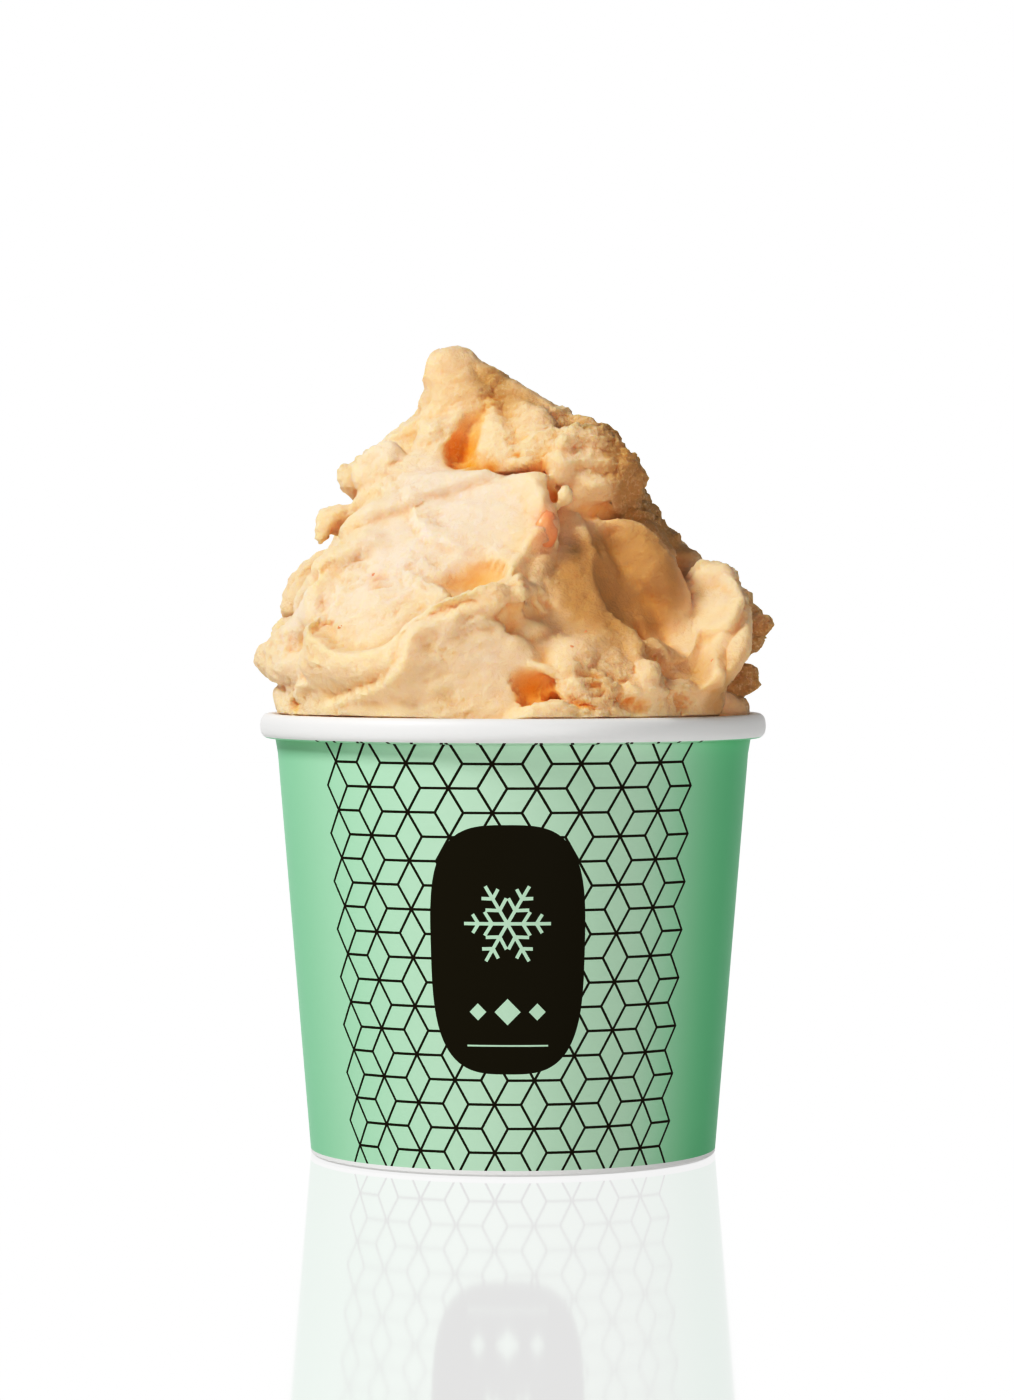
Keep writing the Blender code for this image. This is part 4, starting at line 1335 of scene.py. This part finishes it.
@dataclass
class PaperTub:
    """The tub's wall: one sheet, rolled out at the rim, lapped at the back, folded in at the foot."""

    rim_radius: float = 45.0
    height: float = 78.36
    roll_width: float = 3.2
    roll_height: float = 4.4
    roll_squareness: float = 2.4
    roll_start: float = -125.0
    roll_turn: float = 305.0
    base_radius: float = 36.0
    taper: float = 0.0824
    paper: float = 0.45
    gap: float = 0.3
    fold_height: float = 5.5
    floor_height: float = 6.6
    foot_round: float = 0.4
    white_foot: float = 1.05
    sides: int = 256
    roll_steps: int = 40
    wall_rings: int = 24
    lap_lift: float = 0.3
    lap_start: float = -17.0
    lap_full: float = -7.0
    crisp_gap: float = 0.12

    def wall_radius(self, height: float) -> float:
        """Outer radius of the sloping wall at a height."""
        return self.base_radius + self.taper * height

    def roll(self, spread: float = 0.0) -> list[Spot]:
        """The rolled rim's oval, from where it leaves the wall, out, up and over to the inside.

        Args:
            spread: how much larger than the paper the oval is, on every side.

        Returns:
            Its (radius, height) points.
        """
        half_width = self.roll_width / 2 + spread
        half_height = self.roll_height / 2 + spread
        outline = []
        for step in range(self.roll_steps + 1):
            angle = math.radians(self.roll_start + self.roll_turn * step / self.roll_steps)
            across = float(signed_power(math.cos(angle), 2 / self.roll_squareness))
            up = float(signed_power(math.sin(angle), 2 / self.roll_squareness))
            outline.append((self.rim_radius - self.roll_width / 2 + half_width * across,
                            self.height - self.roll_height / 2 + half_height * up))
        return outline

    def outline(self) -> list[Spot]:
        """The sheet's closed outline, from the foot up the inside, over the rim and down outside.

        Returns:
            Its (radius, height) points.
        """
        lip = self.base_radius - 2 * self.paper - 2 * self.gap
        inner = lip - self.paper
        roll = self.roll()
        top = roll[0][1]
        points = [(self.base_radius - self.foot_round, 0.0), (inner + self.foot_round, 0.0)]
        points += [(inner, self.foot_round), (inner + self.taper * self.fold_height, self.fold_height)]
        points += [(lip + self.taper * self.fold_height, self.fold_height)]
        points += [(lip + self.taper * self.paper, self.paper)]
        points += [(self.wall_radius(self.paper) - self.paper, self.paper)]
        points += roll[::-1]
        for ring in range(1, self.wall_rings):
            height = top + (self.white_foot - top) * ring / self.wall_rings
            points.append((self.wall_radius(height), height))
        points += [(self.wall_radius(height), height)
                   for height in (self.white_foot, self.white_foot - 0.02, self.foot_round)]
        return points

    def lap(self, item: bpy.types.Object) -> None:
        """Raise the overlapping edge of the sheet at the back: a crisp step that fades to one side.

        Args:
            item: the wall, whose mesh is changed.
        """
        places = read_vectors(item.data.vertices, "co")
        radius = np.hypot(places[:, 0], places[:, 1])
        turn = np.degrees(np.arctan2(places[:, 0], places[:, 1]))
        column = 360 / self.sides
        edge = np.abs(turn - column) < column / 2
        turn[edge] = math.degrees(self.crisp_gap / self.base_radius)
        outside = radius > self.wall_radius(places[:, 2]) - 0.6 * self.paper
        raised = np.where((turn < column / 2) & (turn > self.lap_start), 1.0, 0.0)
        raised *= ease(turn, self.lap_start, self.lap_full)
        raised *= ~edge & outside
        lift = self.lap_lift * raised * ease(places[:, 2], 0.0, 1.0)
        turned_to = np.radians(turn)
        places[:, 0] = (radius + lift) * np.sin(turned_to)
        places[:, 1] = (radius + lift) * np.cos(turned_to)
        move_vertices(item.data, places)

    def build(self) -> bpy.types.Object:
        """Model the wall, lap it, and give its print and its bare paper.

        Returns:
            The finished piece.
        """
        item = turned("cup_wall_paper", self.outline(), self.sides, closed=True)
        self.lap(item)
        item.data.materials.append(PaperFinish().make())
        item.data.materials.append(MintPrintFinish().make())
        print_top = self.roll()[0][1]
        for face in item.data.polygons:
            x, y, z = face.center
            printed = self.white_foot < z < print_top and math.hypot(x, y) > self.wall_radius(z) - 0.2
            face.material_index = int(printed)
        make_active(item)
        bpy.ops.object.shade_smooth_by_angle(angle=math.radians(35))
        finish_piece(item, "cup_wall_paper", "printed_paper", "cup_wall")
        return item


@dataclass
class GelatoHeap:
    """The gelato: folds of the spatula joined into one body, carved, torn, and fitted to the tub."""

    tub: PaperTub
    voxel: float = 0.66
    coarse_voxel: float = 1.4
    smoothing_rounds: int = 2
    trim_height: float = 74.0
    stroke_step: float = 0.7
    soft_edge: float = 0.7
    rough_scale: float = 0.13
    rough_height: float = 1.5
    rough_place: Point = (7.0, 21.7, 11.9)
    ledge_height: float = 0.5
    pit_depth: float = 0.8
    crumb_height: float = 0.75
    smear_height: float = 0.55
    soft_rounds: int = 40
    dip_rounds: int = 8
    full_dip: float = 0.28
    calm: float = 0.25
    tear_swing: float = 0.7
    tear_scale: float = 0.07
    hug_inset: float = 2.0
    hug_opening: float = 4.5
    hug_softness: float = 0.7
    hug_heights: Spot = (80.0, 88.5)
    back_strokes: int = 26
    back_start: float = 62.0
    back_turn: float = 236.0
    back_heights: Spot = (82.0, 122.0)
    back_across: Spot = (-12.0, 12.0)
    back_lengths: Spot = (12.0, 26.0)
    back_tilts: Spot = (-50.0, 50.0)
    back_sags: Spot = (-5.0, 5.0)
    back_steps: float = 0.75
    back_widths: Spot = (3.5, 6.5)
    back_lifts: Spot = (0.7, 1.5)
    overhang_radius: float = 60.0
    overhang_rise: float = 1.9
    ray_count: int = 12
    ray_length: float = 13.0
    ray_start: float = 0.15
    ray_cone: float = 0.85
    ray_fade: float = 0.6
    cover_rounds: int = 3
    seed: int = 11

    def join_folds(self) -> bpy.types.Object:
        """Union the folds, subtract the hollows, and remesh the result finely.

        Returns:
            The body, in one shell.
        """
        deselect_all()
        folds = PEAK_FOLDS + FRONT_FOLDS + RIGHT_FOLDS + LEFT_FOLDS + BACK_FOLDS
        body = folds[0].model(64, 40)
        added = bpy.data.collections.new("folds")
        taken = bpy.data.collections.new("hollows")
        for collection, shapes in ((added, folds[1:]), (taken, HOLLOWS)):
            bpy.context.scene.collection.children.link(collection)
            for shape in shapes:
                to_collection(shape.model(), collection)
        bpy.ops.mesh.primitive_cube_add(size=2 * self.overhang_radius,
                                        location=(0, 0, self.trim_height - self.overhang_radius))
        to_collection(bpy.context.object, taken)
        for operation, collection in (("UNION", added), ("DIFFERENCE", taken)):
            modifier = body.modifiers.new(operation.lower(), "BOOLEAN")
            modifier.operation = operation
            modifier.operand_type = "COLLECTION"
            modifier.collection = collection
            modifier.solver = "MANIFOLD"
        remesh = body.modifiers.new("remesh", "REMESH")
        remesh.mode = "VOXEL"
        remesh.voxel_size = self.voxel
        smooth = body.modifiers.new("smooth", "SMOOTH")
        smooth.factor = 0.5
        smooth.iterations = self.smoothing_rounds
        apply_modifiers(body)
        for collection in (added, taken):
            for item in list(collection.objects):
                bpy.data.objects.remove(item)
            bpy.data.collections.remove(collection)
        keep_largest_shell(body)
        return body

    def drop_on_surface(self, tree: BVHTree, stroke: Stroke) -> tuple[np.ndarray, np.ndarray]:
        """Lay a stroke's path on the surface.

        Args:
            tree: the surface.
            stroke: the stroke.

        Returns:
            Points along the path and the surface's normals there.
        """
        points = []
        normals = []
        for first, second in stroke.places(self.stroke_step):
            hit, normal, _, _ = tree.ray_cast(*line_of_sight(first, second, stroke.azimuth))
            if hit is not None:
                points.append(hit)
                normals.append(normal)
        if len(points) < 3:
            return np.empty((0, 3)), np.empty((0, 3))
        points = np.array(points)
        normals = np.array(normals)
        for _ in range(3):
            points[1:-1] = (points[:-2] + 2 * points[1:-1] + points[2:]) / 4
            normals[1:-1] = (normals[:-2] + 2 * normals[1:-1] + normals[2:]) / 4
        return points, normals / np.linalg.norm(normals, axis=1, keepdims=True)

    def stroke_height(self, stroke: Stroke, distance: np.ndarray, side: np.ndarray) -> np.ndarray:
        """How far a stroke lifts the surface.

        Args:
            stroke: the stroke.
            distance: distances from its path.
            side: the same, positive on its left and negative on its right.

        Returns:
            The lifts.
        """
        if stroke.mark is Mark.STEP:
            edge = np.clip(side / self.soft_edge, -1, 1)
            high = (0.25 + 0.75 * edge) * np.exp(-(distance / stroke.width) ** 2)
            low = -0.5 * np.exp(-(distance / (0.6 * stroke.width)) ** 2)
            return stroke.height * np.where(side > -self.soft_edge, high, low)
        if stroke.mark is Mark.DENT:
            return -stroke.height * np.exp(-(distance / stroke.width) ** 3)
        sign = 1 if stroke.mark is Mark.CREST else -1
        return sign * stroke.height * np.exp(-(distance / stroke.width) ** 1.3)

    def draw_strokes(self, body: bpy.types.Object, strokes: tuple[Stroke, ...]) -> None:
        """Push the surface along its normals where the strokes pass.

        Args:
            body: the body, whose mesh is changed.
            strokes: the strokes.
        """
        tree = BVHTree.FromObject(body, bpy.context.evaluated_depsgraph_get())
        places = read_vectors(body.data.vertices, "co")
        normals = read_vectors(body.data.vertex_normals, "vector")
        lift = np.zeros(len(places))
        for stroke in strokes:
            path, path_normals = self.drop_on_surface(tree, stroke)
            if not len(path):
                continue
            along = np.gradient(path, axis=0)
            along /= np.linalg.norm(along, axis=1, keepdims=True) + 1e-9
            left = np.cross(path_normals, along)
            reach = stroke.width * 2.5
            low, high = path.min(axis=0) - reach, path.max(axis=0) + reach
            near = np.flatnonzero(np.all((places > low) & (places < high), axis=1))
            offsets = places[near][:, None, :] - path[None, :, :]
            distances = np.linalg.norm(offsets, axis=2)
            nearest = distances.argmin(axis=1)
            rows = np.arange(len(near))
            side = np.einsum("ij,ij->i", offsets[rows, nearest], left[nearest])
            from_end = np.minimum(nearest, len(path) - 1 - nearest) / (0.15 * len(path))
            height = self.stroke_height(stroke, distances[rows, nearest], side)
            lift[near] += height * np.minimum(1, from_end)
        move_vertices(body.data, places + normals * lift[:, None])

    def strokes_round_the_back(self) -> tuple[Stroke, ...]:
        """Seeded strokes over the sides and the back: long curved edges that fall to one side.

        Returns:
            The strokes.
        """
        chance = random.Random(self.seed)
        strokes = []
        for index in range(self.back_strokes):
            azimuth = self.back_start + self.back_turn * (index + chance.random()) / self.back_strokes
            height = chance.uniform(*self.back_heights)
            across = chance.uniform(*self.back_across)
            length = chance.uniform(*self.back_lengths)
            tilt = math.radians(chance.uniform(*self.back_tilts))
            sag = chance.uniform(*self.back_sags)
            path = tuple((across + share * length * math.cos(tilt),
                          height + share * length * math.sin(tilt) + sag * (1 - 4 * share * share))
                         for share in (-0.5, -0.3, -0.1, 0.1, 0.3, 0.5))
            mark = Mark.STEP if chance.random() < self.back_steps else Mark.GROOVE
            width, lift = chance.uniform(*self.back_widths), chance.uniform(*self.back_lifts)
            strokes.append(Stroke("back_stroke", mark, path, width, lift, azimuth))
        return tuple(strokes)

    def crumbliness(self, places: np.ndarray) -> np.ndarray:
        """How torn the surface is.

        Args:
            places: points, one for each row.

        Returns:
            A value from 0 to 1 for each point.
        """
        torn = self.calm + self.tear_swing * fractal_noise(places * self.tear_scale + 5.3, 2)
        for sign, patches in ((1, CRUMBLY), (-1, SMOOTH)):
            for patch in patches:
                torn += sign * patch.share(places)
        return np.clip(torn, 0.0, 1.0)

    def tear(self, body: bpy.types.Object) -> None:
        """Break the surface up: swells and creases, thin ledges like overlapping flakes, crumbs, pits.

        Args:
            body: the body, whose mesh is changed.
        """
        places = read_vectors(body.data.vertices, "co")
        normals = read_vectors(body.data.vertex_normals, "vector")
        spots = places * self.rough_scale + np.array(self.rough_place)
        torn = self.crumbliness(places)
        swells = fractal_noise(spots, 3)
        creases = 0.25 - np.abs(fractal_noise(spots * 0.7 + 31.7, 3))
        lift = self.rough_height * (0.6 * swells - 0.5 * creases) * (0.25 + 0.75 * torn)
        flaky = places * np.array((0.8, 0.8, 1.5))
        warp = np.stack([fractal_noise(flaky * 0.11 + shift, 2) for shift in (3.1, 17.9, 41.3)], axis=1)
        field = 3.4 * fractal_noise(flaky * 0.075 + warp * 0.5 + 9.0, 4)
        share = field - np.floor(field)
        ledges = np.where(share < 0.86, share / 0.86, (1 - share) / 0.14) - 0.5
        lift += self.ledge_height * ledges * (0.2 + 0.8 * ease(torn, 0.1, 0.7))
        smears = fractal_noise(places * np.array((0.12, 0.12, 0.3)) + warp * 0.6 + 61.0, 2)
        lift += self.smear_height * smears * (0.4 + 0.6 * torn)
        crumbs = fractal_noise(places * 0.36 + warp + 13.0, 3)
        lift += self.crumb_height * crumbs * (0.2 + 0.8 * torn)
        pits = np.maximum(0, lattice_noise(places * 0.42 + warp * 1.5 + 77.0) - 0.2)
        lift -= self.pit_depth * pits * (0.15 + 0.85 * torn)
        move_vertices(body.data, places + normals * lift[:, None])

    def soften(self, mesh: bpy.types.Mesh, places: np.ndarray) -> np.ndarray:
        """Smooth the points of a mesh where the soft patches lie.

        Args:
            mesh: the mesh that the points belong to.
            places: its points.

        Returns:
            The points, smoothed there.
        """
        around = np.stack([self.spread(mesh, values, self.soft_rounds) for values in places.T], axis=1)
        share = np.max([patch.share(places, 4) for patch in SOFT], axis=0)
        return places + (around - places) * share[:, None]

    def hug_rim(self, places: np.ndarray) -> np.ndarray:
        """Draw what bulges past the rim softly back over it.

        Args:
            places: the surface's points.

        Returns:
            The points, inside a limit that opens upwards.
        """
        reach = np.hypot(places[:, 0], places[:, 1])
        low, high = self.hug_heights
        limit = self.tub.rim_radius - self.hug_inset + self.hug_opening * ease(places[:, 2], low, high)
        drawn = limit - self.hug_softness * np.logaddexp(0, (limit - reach) / self.hug_softness)
        share = np.where(reach > 1.0, drawn / np.maximum(reach, 1.0), 1.0)
        return places * np.stack([share, share, np.ones(len(places))], axis=1)

    def fit_to_tub(self, body: bpy.types.Object) -> None:
        """Add the plug that fills the tub, and cut the body clear of the paper.

        Args:
            body: the body, whose mesh is changed.
        """
        tub = self.tub
        floor = tub.floor_height + tub.gap
        rim = tub.roll(tub.gap)
        crest = max(rim, key=lambda spot: spot[1])
        inside = rim[rim.index(crest):]
        top = inside[-1][1]

        def plug_radius(height: float) -> float:
            return tub.wall_radius(height) - tub.paper - tub.gap
        plug = turned("plug", [(plug_radius(floor), floor), (plug_radius(top) - 1.0, top + 1.0)],
                      tub.sides // 2, closed=False)
        shelf = crest[1] + self.overhang_rise
        clearance = turned("clearance", [
            (plug_radius(floor), floor),
            (plug_radius(top), top),
            *inside[::-1],
            (tub.rim_radius + 1.0, shelf),
            (self.overhang_radius, shelf),
            (self.overhang_radius, -1.0),
            (plug_radius(floor), -1.0),
        ], tub.sides // 2, closed=True)
        for operation, operand in (("UNION", plug), ("DIFFERENCE", clearance)):
            modifier = body.modifiers.new(operation.lower(), "BOOLEAN")
            modifier.operation = operation
            modifier.object = operand
            modifier.solver = "MANIFOLD"
        apply_modifiers(body)
        for item in (plug, clearance):
            bpy.data.objects.remove(item)
        keep_largest_shell(body)

    def spread(self, mesh: bpy.types.Mesh, values: np.ndarray, rounds: int) -> np.ndarray:
        """Average values with those of neighbouring vertices.

        Args:
            mesh: the mesh.
            values: a value for each vertex.
            rounds: how many times over.

        Returns:
            The averaged values.
        """
        pairs = np.empty(len(mesh.edges) * 2, np.int32)
        mesh.edges.foreach_get("vertices", pairs)
        first, second = pairs.reshape(-1, 2).T
        count = np.bincount(first, minlength=len(values)) + np.bincount(second, minlength=len(values))
        for _ in range(rounds):
            total = np.bincount(first, values[second], len(values))
            total += np.bincount(second, values[first], len(values))
            values = 0.5 * values + 0.5 * total / np.maximum(count, 1)
        return values

    def cover(self, body: bpy.types.Object, places: np.ndarray, normals: np.ndarray) -> np.ndarray:
        """How closely other folds stand over each vertex, by short rays in a cone round its normal.

        Args:
            body: the body.
            places: its vertices.
            normals: their normals.

        Returns:
            A value from 0 to about 1 for each vertex.
        """
        tree = BVHTree.FromObject(body, bpy.context.evaluated_depsgraph_get())
        golden = math.pi * (3 - math.sqrt(5))
        covered = np.zeros(len(places))
        above = np.flatnonzero(places[:, 2] > self.tub.height - 4)
        helper = np.where(np.abs(normals[:, 2:]) < 0.9, (0.0, 0.0, 1.0), (1.0, 0.0, 0.0))
        side = np.cross(helper, normals)
        side /= np.linalg.norm(side, axis=1, keepdims=True) + 1e-9
        other = np.cross(normals, side)
        starts = places + normals * self.ray_start
        for ray in range(self.ray_count):
            up = 1 - (ray + 0.5) / self.ray_count * self.ray_cone
            ring = math.sqrt(1 - up * up)
            ways = side * (ring * math.cos(golden * ray)) + other * (ring * math.sin(golden * ray))
            ways += normals * up
            for index in above:
                distance = tree.ray_cast(Vector(starts[index]), Vector(ways[index]), self.ray_length)[3]
                if distance is not None:
                    covered[index] += 1 - distance / self.ray_length * self.ray_fade
        return self.spread(body.data, covered / self.ray_count, self.cover_rounds)

    def paint(self, body: bpy.types.Object) -> None:
        """Give each vertex the six numbers that the gelato's finish reads.

        They are how covered it is, how torn the surface is, how deep it lies in a small dip, how much
        painted glow and shade it takes, its warmth with painted light and shade, and how stained it is.

        Args:
            body: the body, whose mesh gets the attributes.
        """
        mesh = body.data
        places = read_vectors(mesh.vertices, "co")
        normals = read_vectors(mesh.vertex_normals, "vector")
        covered = self.cover(body, places, normals)
        torn = self.crumbliness(places)
        # Painted glow and shade, only where other folds cover the surface
        amber = np.max([patch.share(places) for patch in PAINTED_GLOW], axis=0) * ease(covered, 0.05, 0.3)
        # Warmth of torn cream, plus painted shade and painted light from the patches
        warm = 0.45 + 0.2 * torn + sum(patch.share(places) for patch in PAINTED_SHADING)
        around = np.stack([self.spread(mesh, values, self.dip_rounds) for values in places.T], axis=1)
        pit = np.clip(np.einsum("ij,ij->i", around - places, normals) / self.full_dip, 0.0, 1.0)
        juice = np.max([patch.share(places) for patch in JUICE], axis=0)
        for name, values in (("hollow", covered), ("torn", torn), ("amber", amber), ("warm", warm),
                             ("pit", pit), ("juice", juice)):
            layer = mesh.attributes.new(name, "FLOAT", "POINT")
            layer.data.foreach_set("value", values.astype(np.float32))
        LOG.info("hollow from %.2f to %.2f, mean %.2f", covered.min(), covered.max(), covered.mean())

    def build(self) -> bpy.types.Object:
        """Model, fit, paint and dress the gelato.

        Returns:
            The piece, still in millimetres, so that fruit can be set in it.
        """
        body = self.join_folds()
        places = read_vectors(body.data.vertices, "co")
        for press in PRESSES:
            places = press.flatten(places)
        move_vertices(body.data, self.hug_rim(self.soften(body.data, places)))
        self.draw_strokes(body, FRONT_STROKES)
        self.draw_strokes(body, self.strokes_round_the_back())
        self.tear(body)
        self.fit_to_tub(body)
        self.paint(body)
        body.data.materials.clear()
        body.data.materials.append(GelatoFinish().make())
        make_active(body)
        bpy.ops.object.shade_smooth_by_angle(angle=math.radians(60))
        return body


@dataclass
class FruitFlecks:
    """Small bits of fruit, half sunk in the gelato's surface."""

    heap: bpy.types.Object
    count: int = 12
    seed: int = 5
    azimuths: Spot = (95.0, 265.0)
    across: Spot = (-20.0, 20.0)
    heights: Spot = (82.0, 130.0)
    lengths: Spot = (1.0, 1.7)
    sunk: float = 0.5
    unevenness: float = 0.3

    def spots(self) -> list[tuple[Vector, Vector, float, float]]:
        """Lines of sight to the bits: those in front, and seeded ones round the back.

        Returns:
            Each line's start and direction, and the bit's half width and half length.
        """
        chance = random.Random(self.seed)
        spots = [(*line_of_sight(bit.column, bit.row), bit.half_width, bit.half_length)
                 for bit in FRUIT_BITS]
        for _ in range(self.count):
            size = 0.3 + 0.5 * chance.random() ** 2
            azimuth = chance.uniform(*self.azimuths)
            across, height = chance.uniform(*self.across), chance.uniform(*self.heights)
            start, way = line_of_sight(across, height, azimuth)
            spots.append((start, way, size, size * chance.uniform(*self.lengths)))
        return spots

    def build(self) -> bpy.types.Object:
        """Model the bits, each a dented ball pressed into the surface, and join them.

        Returns:
            The joined piece, still in millimetres.
        """
        tree = BVHTree.FromObject(self.heap, bpy.context.evaluated_depsgraph_get())
        bits = []
        for index, (start, way, half_width, half_length) in enumerate(self.spots()):
            hit, normal, _, _ = tree.ray_cast(start, way)
            if hit is None or normal.dot(way) > -0.25:
                continue
            deselect_all()
            bpy.ops.mesh.primitive_ico_sphere_add(subdivisions=2, radius=1.0)
            bit = bpy.context.object
            sphere = read_vectors(bit.data.vertices, "co")
            sphere *= 1 + self.unevenness * lattice_noise(sphere * 0.9 + 7.7 * index)[:, None]
            frame = normal.to_track_quat("Z", "Y").to_matrix().to_4x4()
            size = Matrix.Diagonal((half_width, half_length, half_width * 0.6, 1))
            move_vertices(bit.data, sphere)
            bit.data.transform(Matrix.Translation(hit - normal * half_width * self.sunk) @ frame @ size)
            bits.append(bit)
        deselect_all()
        for bit in bits:
            bit.select_set(True)
        bpy.context.view_layer.objects.active = bits[0]
        bpy.ops.object.join()
        item = bpy.context.object
        item.data.materials.append(FruitFinish().make())
        bpy.ops.object.shade_smooth()
        return item


@dataclass
class Studio:
    """Soft light from the left, a bright white room, a glossy white table, and the camera."""

    sensor: float = 36.0
    key_place: Point = (-514.0, -297.0, 674.0)
    key_size: float = 240.0
    key_power: float = 5.2
    fill_place: Point = (230.0, -790.0, 140.0)
    fill_size: float = 300.0
    fill_power: float = 1.9
    room_light: float = 0.12
    table_light: float = 0.45
    tone_curve: tuple[Spot, ...] = ((0.0, 0.0), (0.1, 0.045), (0.22, 0.14), (0.4, 0.36), (0.6, 0.62),
                                    (0.8, 0.85), (1.0, 1.0))
    table_radius: float = 2.0
    table_gloss: float = 0.28
    table_roughness: float = 0.06
    aim_height: float = 80.0

    def camera(self) -> None:
        """Add the camera at the photograph's viewing angle."""
        view = bpy.data.cameras.new("photo_view")
        view.sensor_width = self.sensor
        view.lens = VIEW.focal / VIEW.height * self.sensor
        item = bpy.data.objects.new("photo_view", view)
        bpy.context.scene.collection.objects.link(item)
        item.location = Vector(VIEW.eye) * MM
        item.rotation_euler = (math.pi / 2 - VIEW.tilt, 0, 0)
        bpy.context.scene.camera = item

    def lamp(self, name: str, place: Point, size: float, power: float) -> None:
        """Add a soft square lamp that faces the gelato.

        Args:
            name: the lamp's name.
            place: where it stands, in millimetres.
            size: its side, in millimetres.
            power: its power, in watts.
        """
        light = bpy.data.lights.new(name, "AREA")
        light.size = size * MM
        light.energy = power
        item = bpy.data.objects.new(name, light)
        bpy.context.scene.collection.objects.link(item)
        item.location = Vector(place) * MM
        aim = Vector((0, 0, self.aim_height * MM)) - item.location
        item.rotation_euler = aim.to_track_quat("-Z", "Y").to_euler()

    def room(self) -> None:
        """A white room that lights the shadows only weakly."""
        world = bpy.data.worlds.new("white_room")
        bpy.context.scene.world = world
        world.use_nodes = True
        nodes = world.node_tree.nodes
        world.cycles.sampling_method = "NONE"
        background = nodes["Background"]
        background.inputs["Color"].default_value = (1, 1, 1, 1)
        path = nodes.new("ShaderNodeLightPath")
        diffuse = Signal(world.node_tree, path.outputs["Is Diffuse Ray"])
        strength = diffuse * (self.room_light - 1) + 1.0
        world.node_tree.links.new(strength.source, background.inputs["Strength"])

    def table(self) -> None:
        """A white table top with a faint reflection."""
        deselect_all()
        bpy.ops.mesh.primitive_circle_add(vertices=96, radius=self.table_radius, fill_type="NGON")
        item = bpy.context.object
        item.name = "table_top"
        finish = bpy.data.materials.new("white_table")
        finish.use_nodes = True
        nodes, links = finish.node_tree.nodes, finish.node_tree.links
        nodes.clear()
        glow = nodes.new("ShaderNodeEmission")
        diffuse = Signal(finish.node_tree, nodes.new("ShaderNodeLightPath").outputs["Is Diffuse Ray"])
        strength = diffuse * (self.table_light - 1) + 1.0
        links.new(strength.source, glow.inputs["Strength"])
        gloss = nodes.new("ShaderNodeBsdfGlossy")
        gloss.inputs["Color"].default_value = (1, 1, 1, 1)
        gloss.inputs["Roughness"].default_value = self.table_roughness
        both = nodes.new("ShaderNodeMixShader")
        both.inputs["Fac"].default_value = self.table_gloss
        output = nodes.new("ShaderNodeOutputMaterial")
        links.new(glow.outputs[0], both.inputs[1])
        links.new(gloss.outputs[0], both.inputs[2])
        links.new(both.outputs[0], output.inputs["Surface"])
        item.data.materials.append(finish)

    def develop(self) -> None:
        """Give the picture a photograph's contrast: deeper shades and gentle highlights."""
        settings = bpy.context.scene.view_settings
        settings.view_transform = "Standard"
        settings.use_curve_mapping = True
        curve = settings.curve_mapping.curves[3]
        for spot in self.tone_curve[1:-1]:
            curve.points.new(*spot)
        settings.curve_mapping.update()

    def build(self) -> None:
        """Set up the light, the table and the camera."""
        self.room()
        self.table()
        self.lamp("key_light", self.key_place, self.key_size, self.key_power)
        self.lamp("fill_light", self.fill_place, self.fill_size, self.fill_power)
        self.camera()
        self.develop()


def main() -> None:
    """Load the frame, build the pieces round it, and light them."""
    logging.basicConfig(level=logging.INFO, format="%(name)s: %(message)s")
    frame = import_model()
    base = frame["nodes"]["cup_base"]
    base.data.materials.clear()
    base.data.materials.append(BoardFinish().make())
    tub = PaperTub()
    tub.build()
    heap = GelatoHeap(tub).build()
    flecks = FruitFlecks(heap).build()
    finish_piece(heap, "gelato_heap", "gelato", "gelato")
    finish_piece(flecks, "fruit_flecks", "gelato")
    Studio().build()


if __name__ == "__main__":
    main()
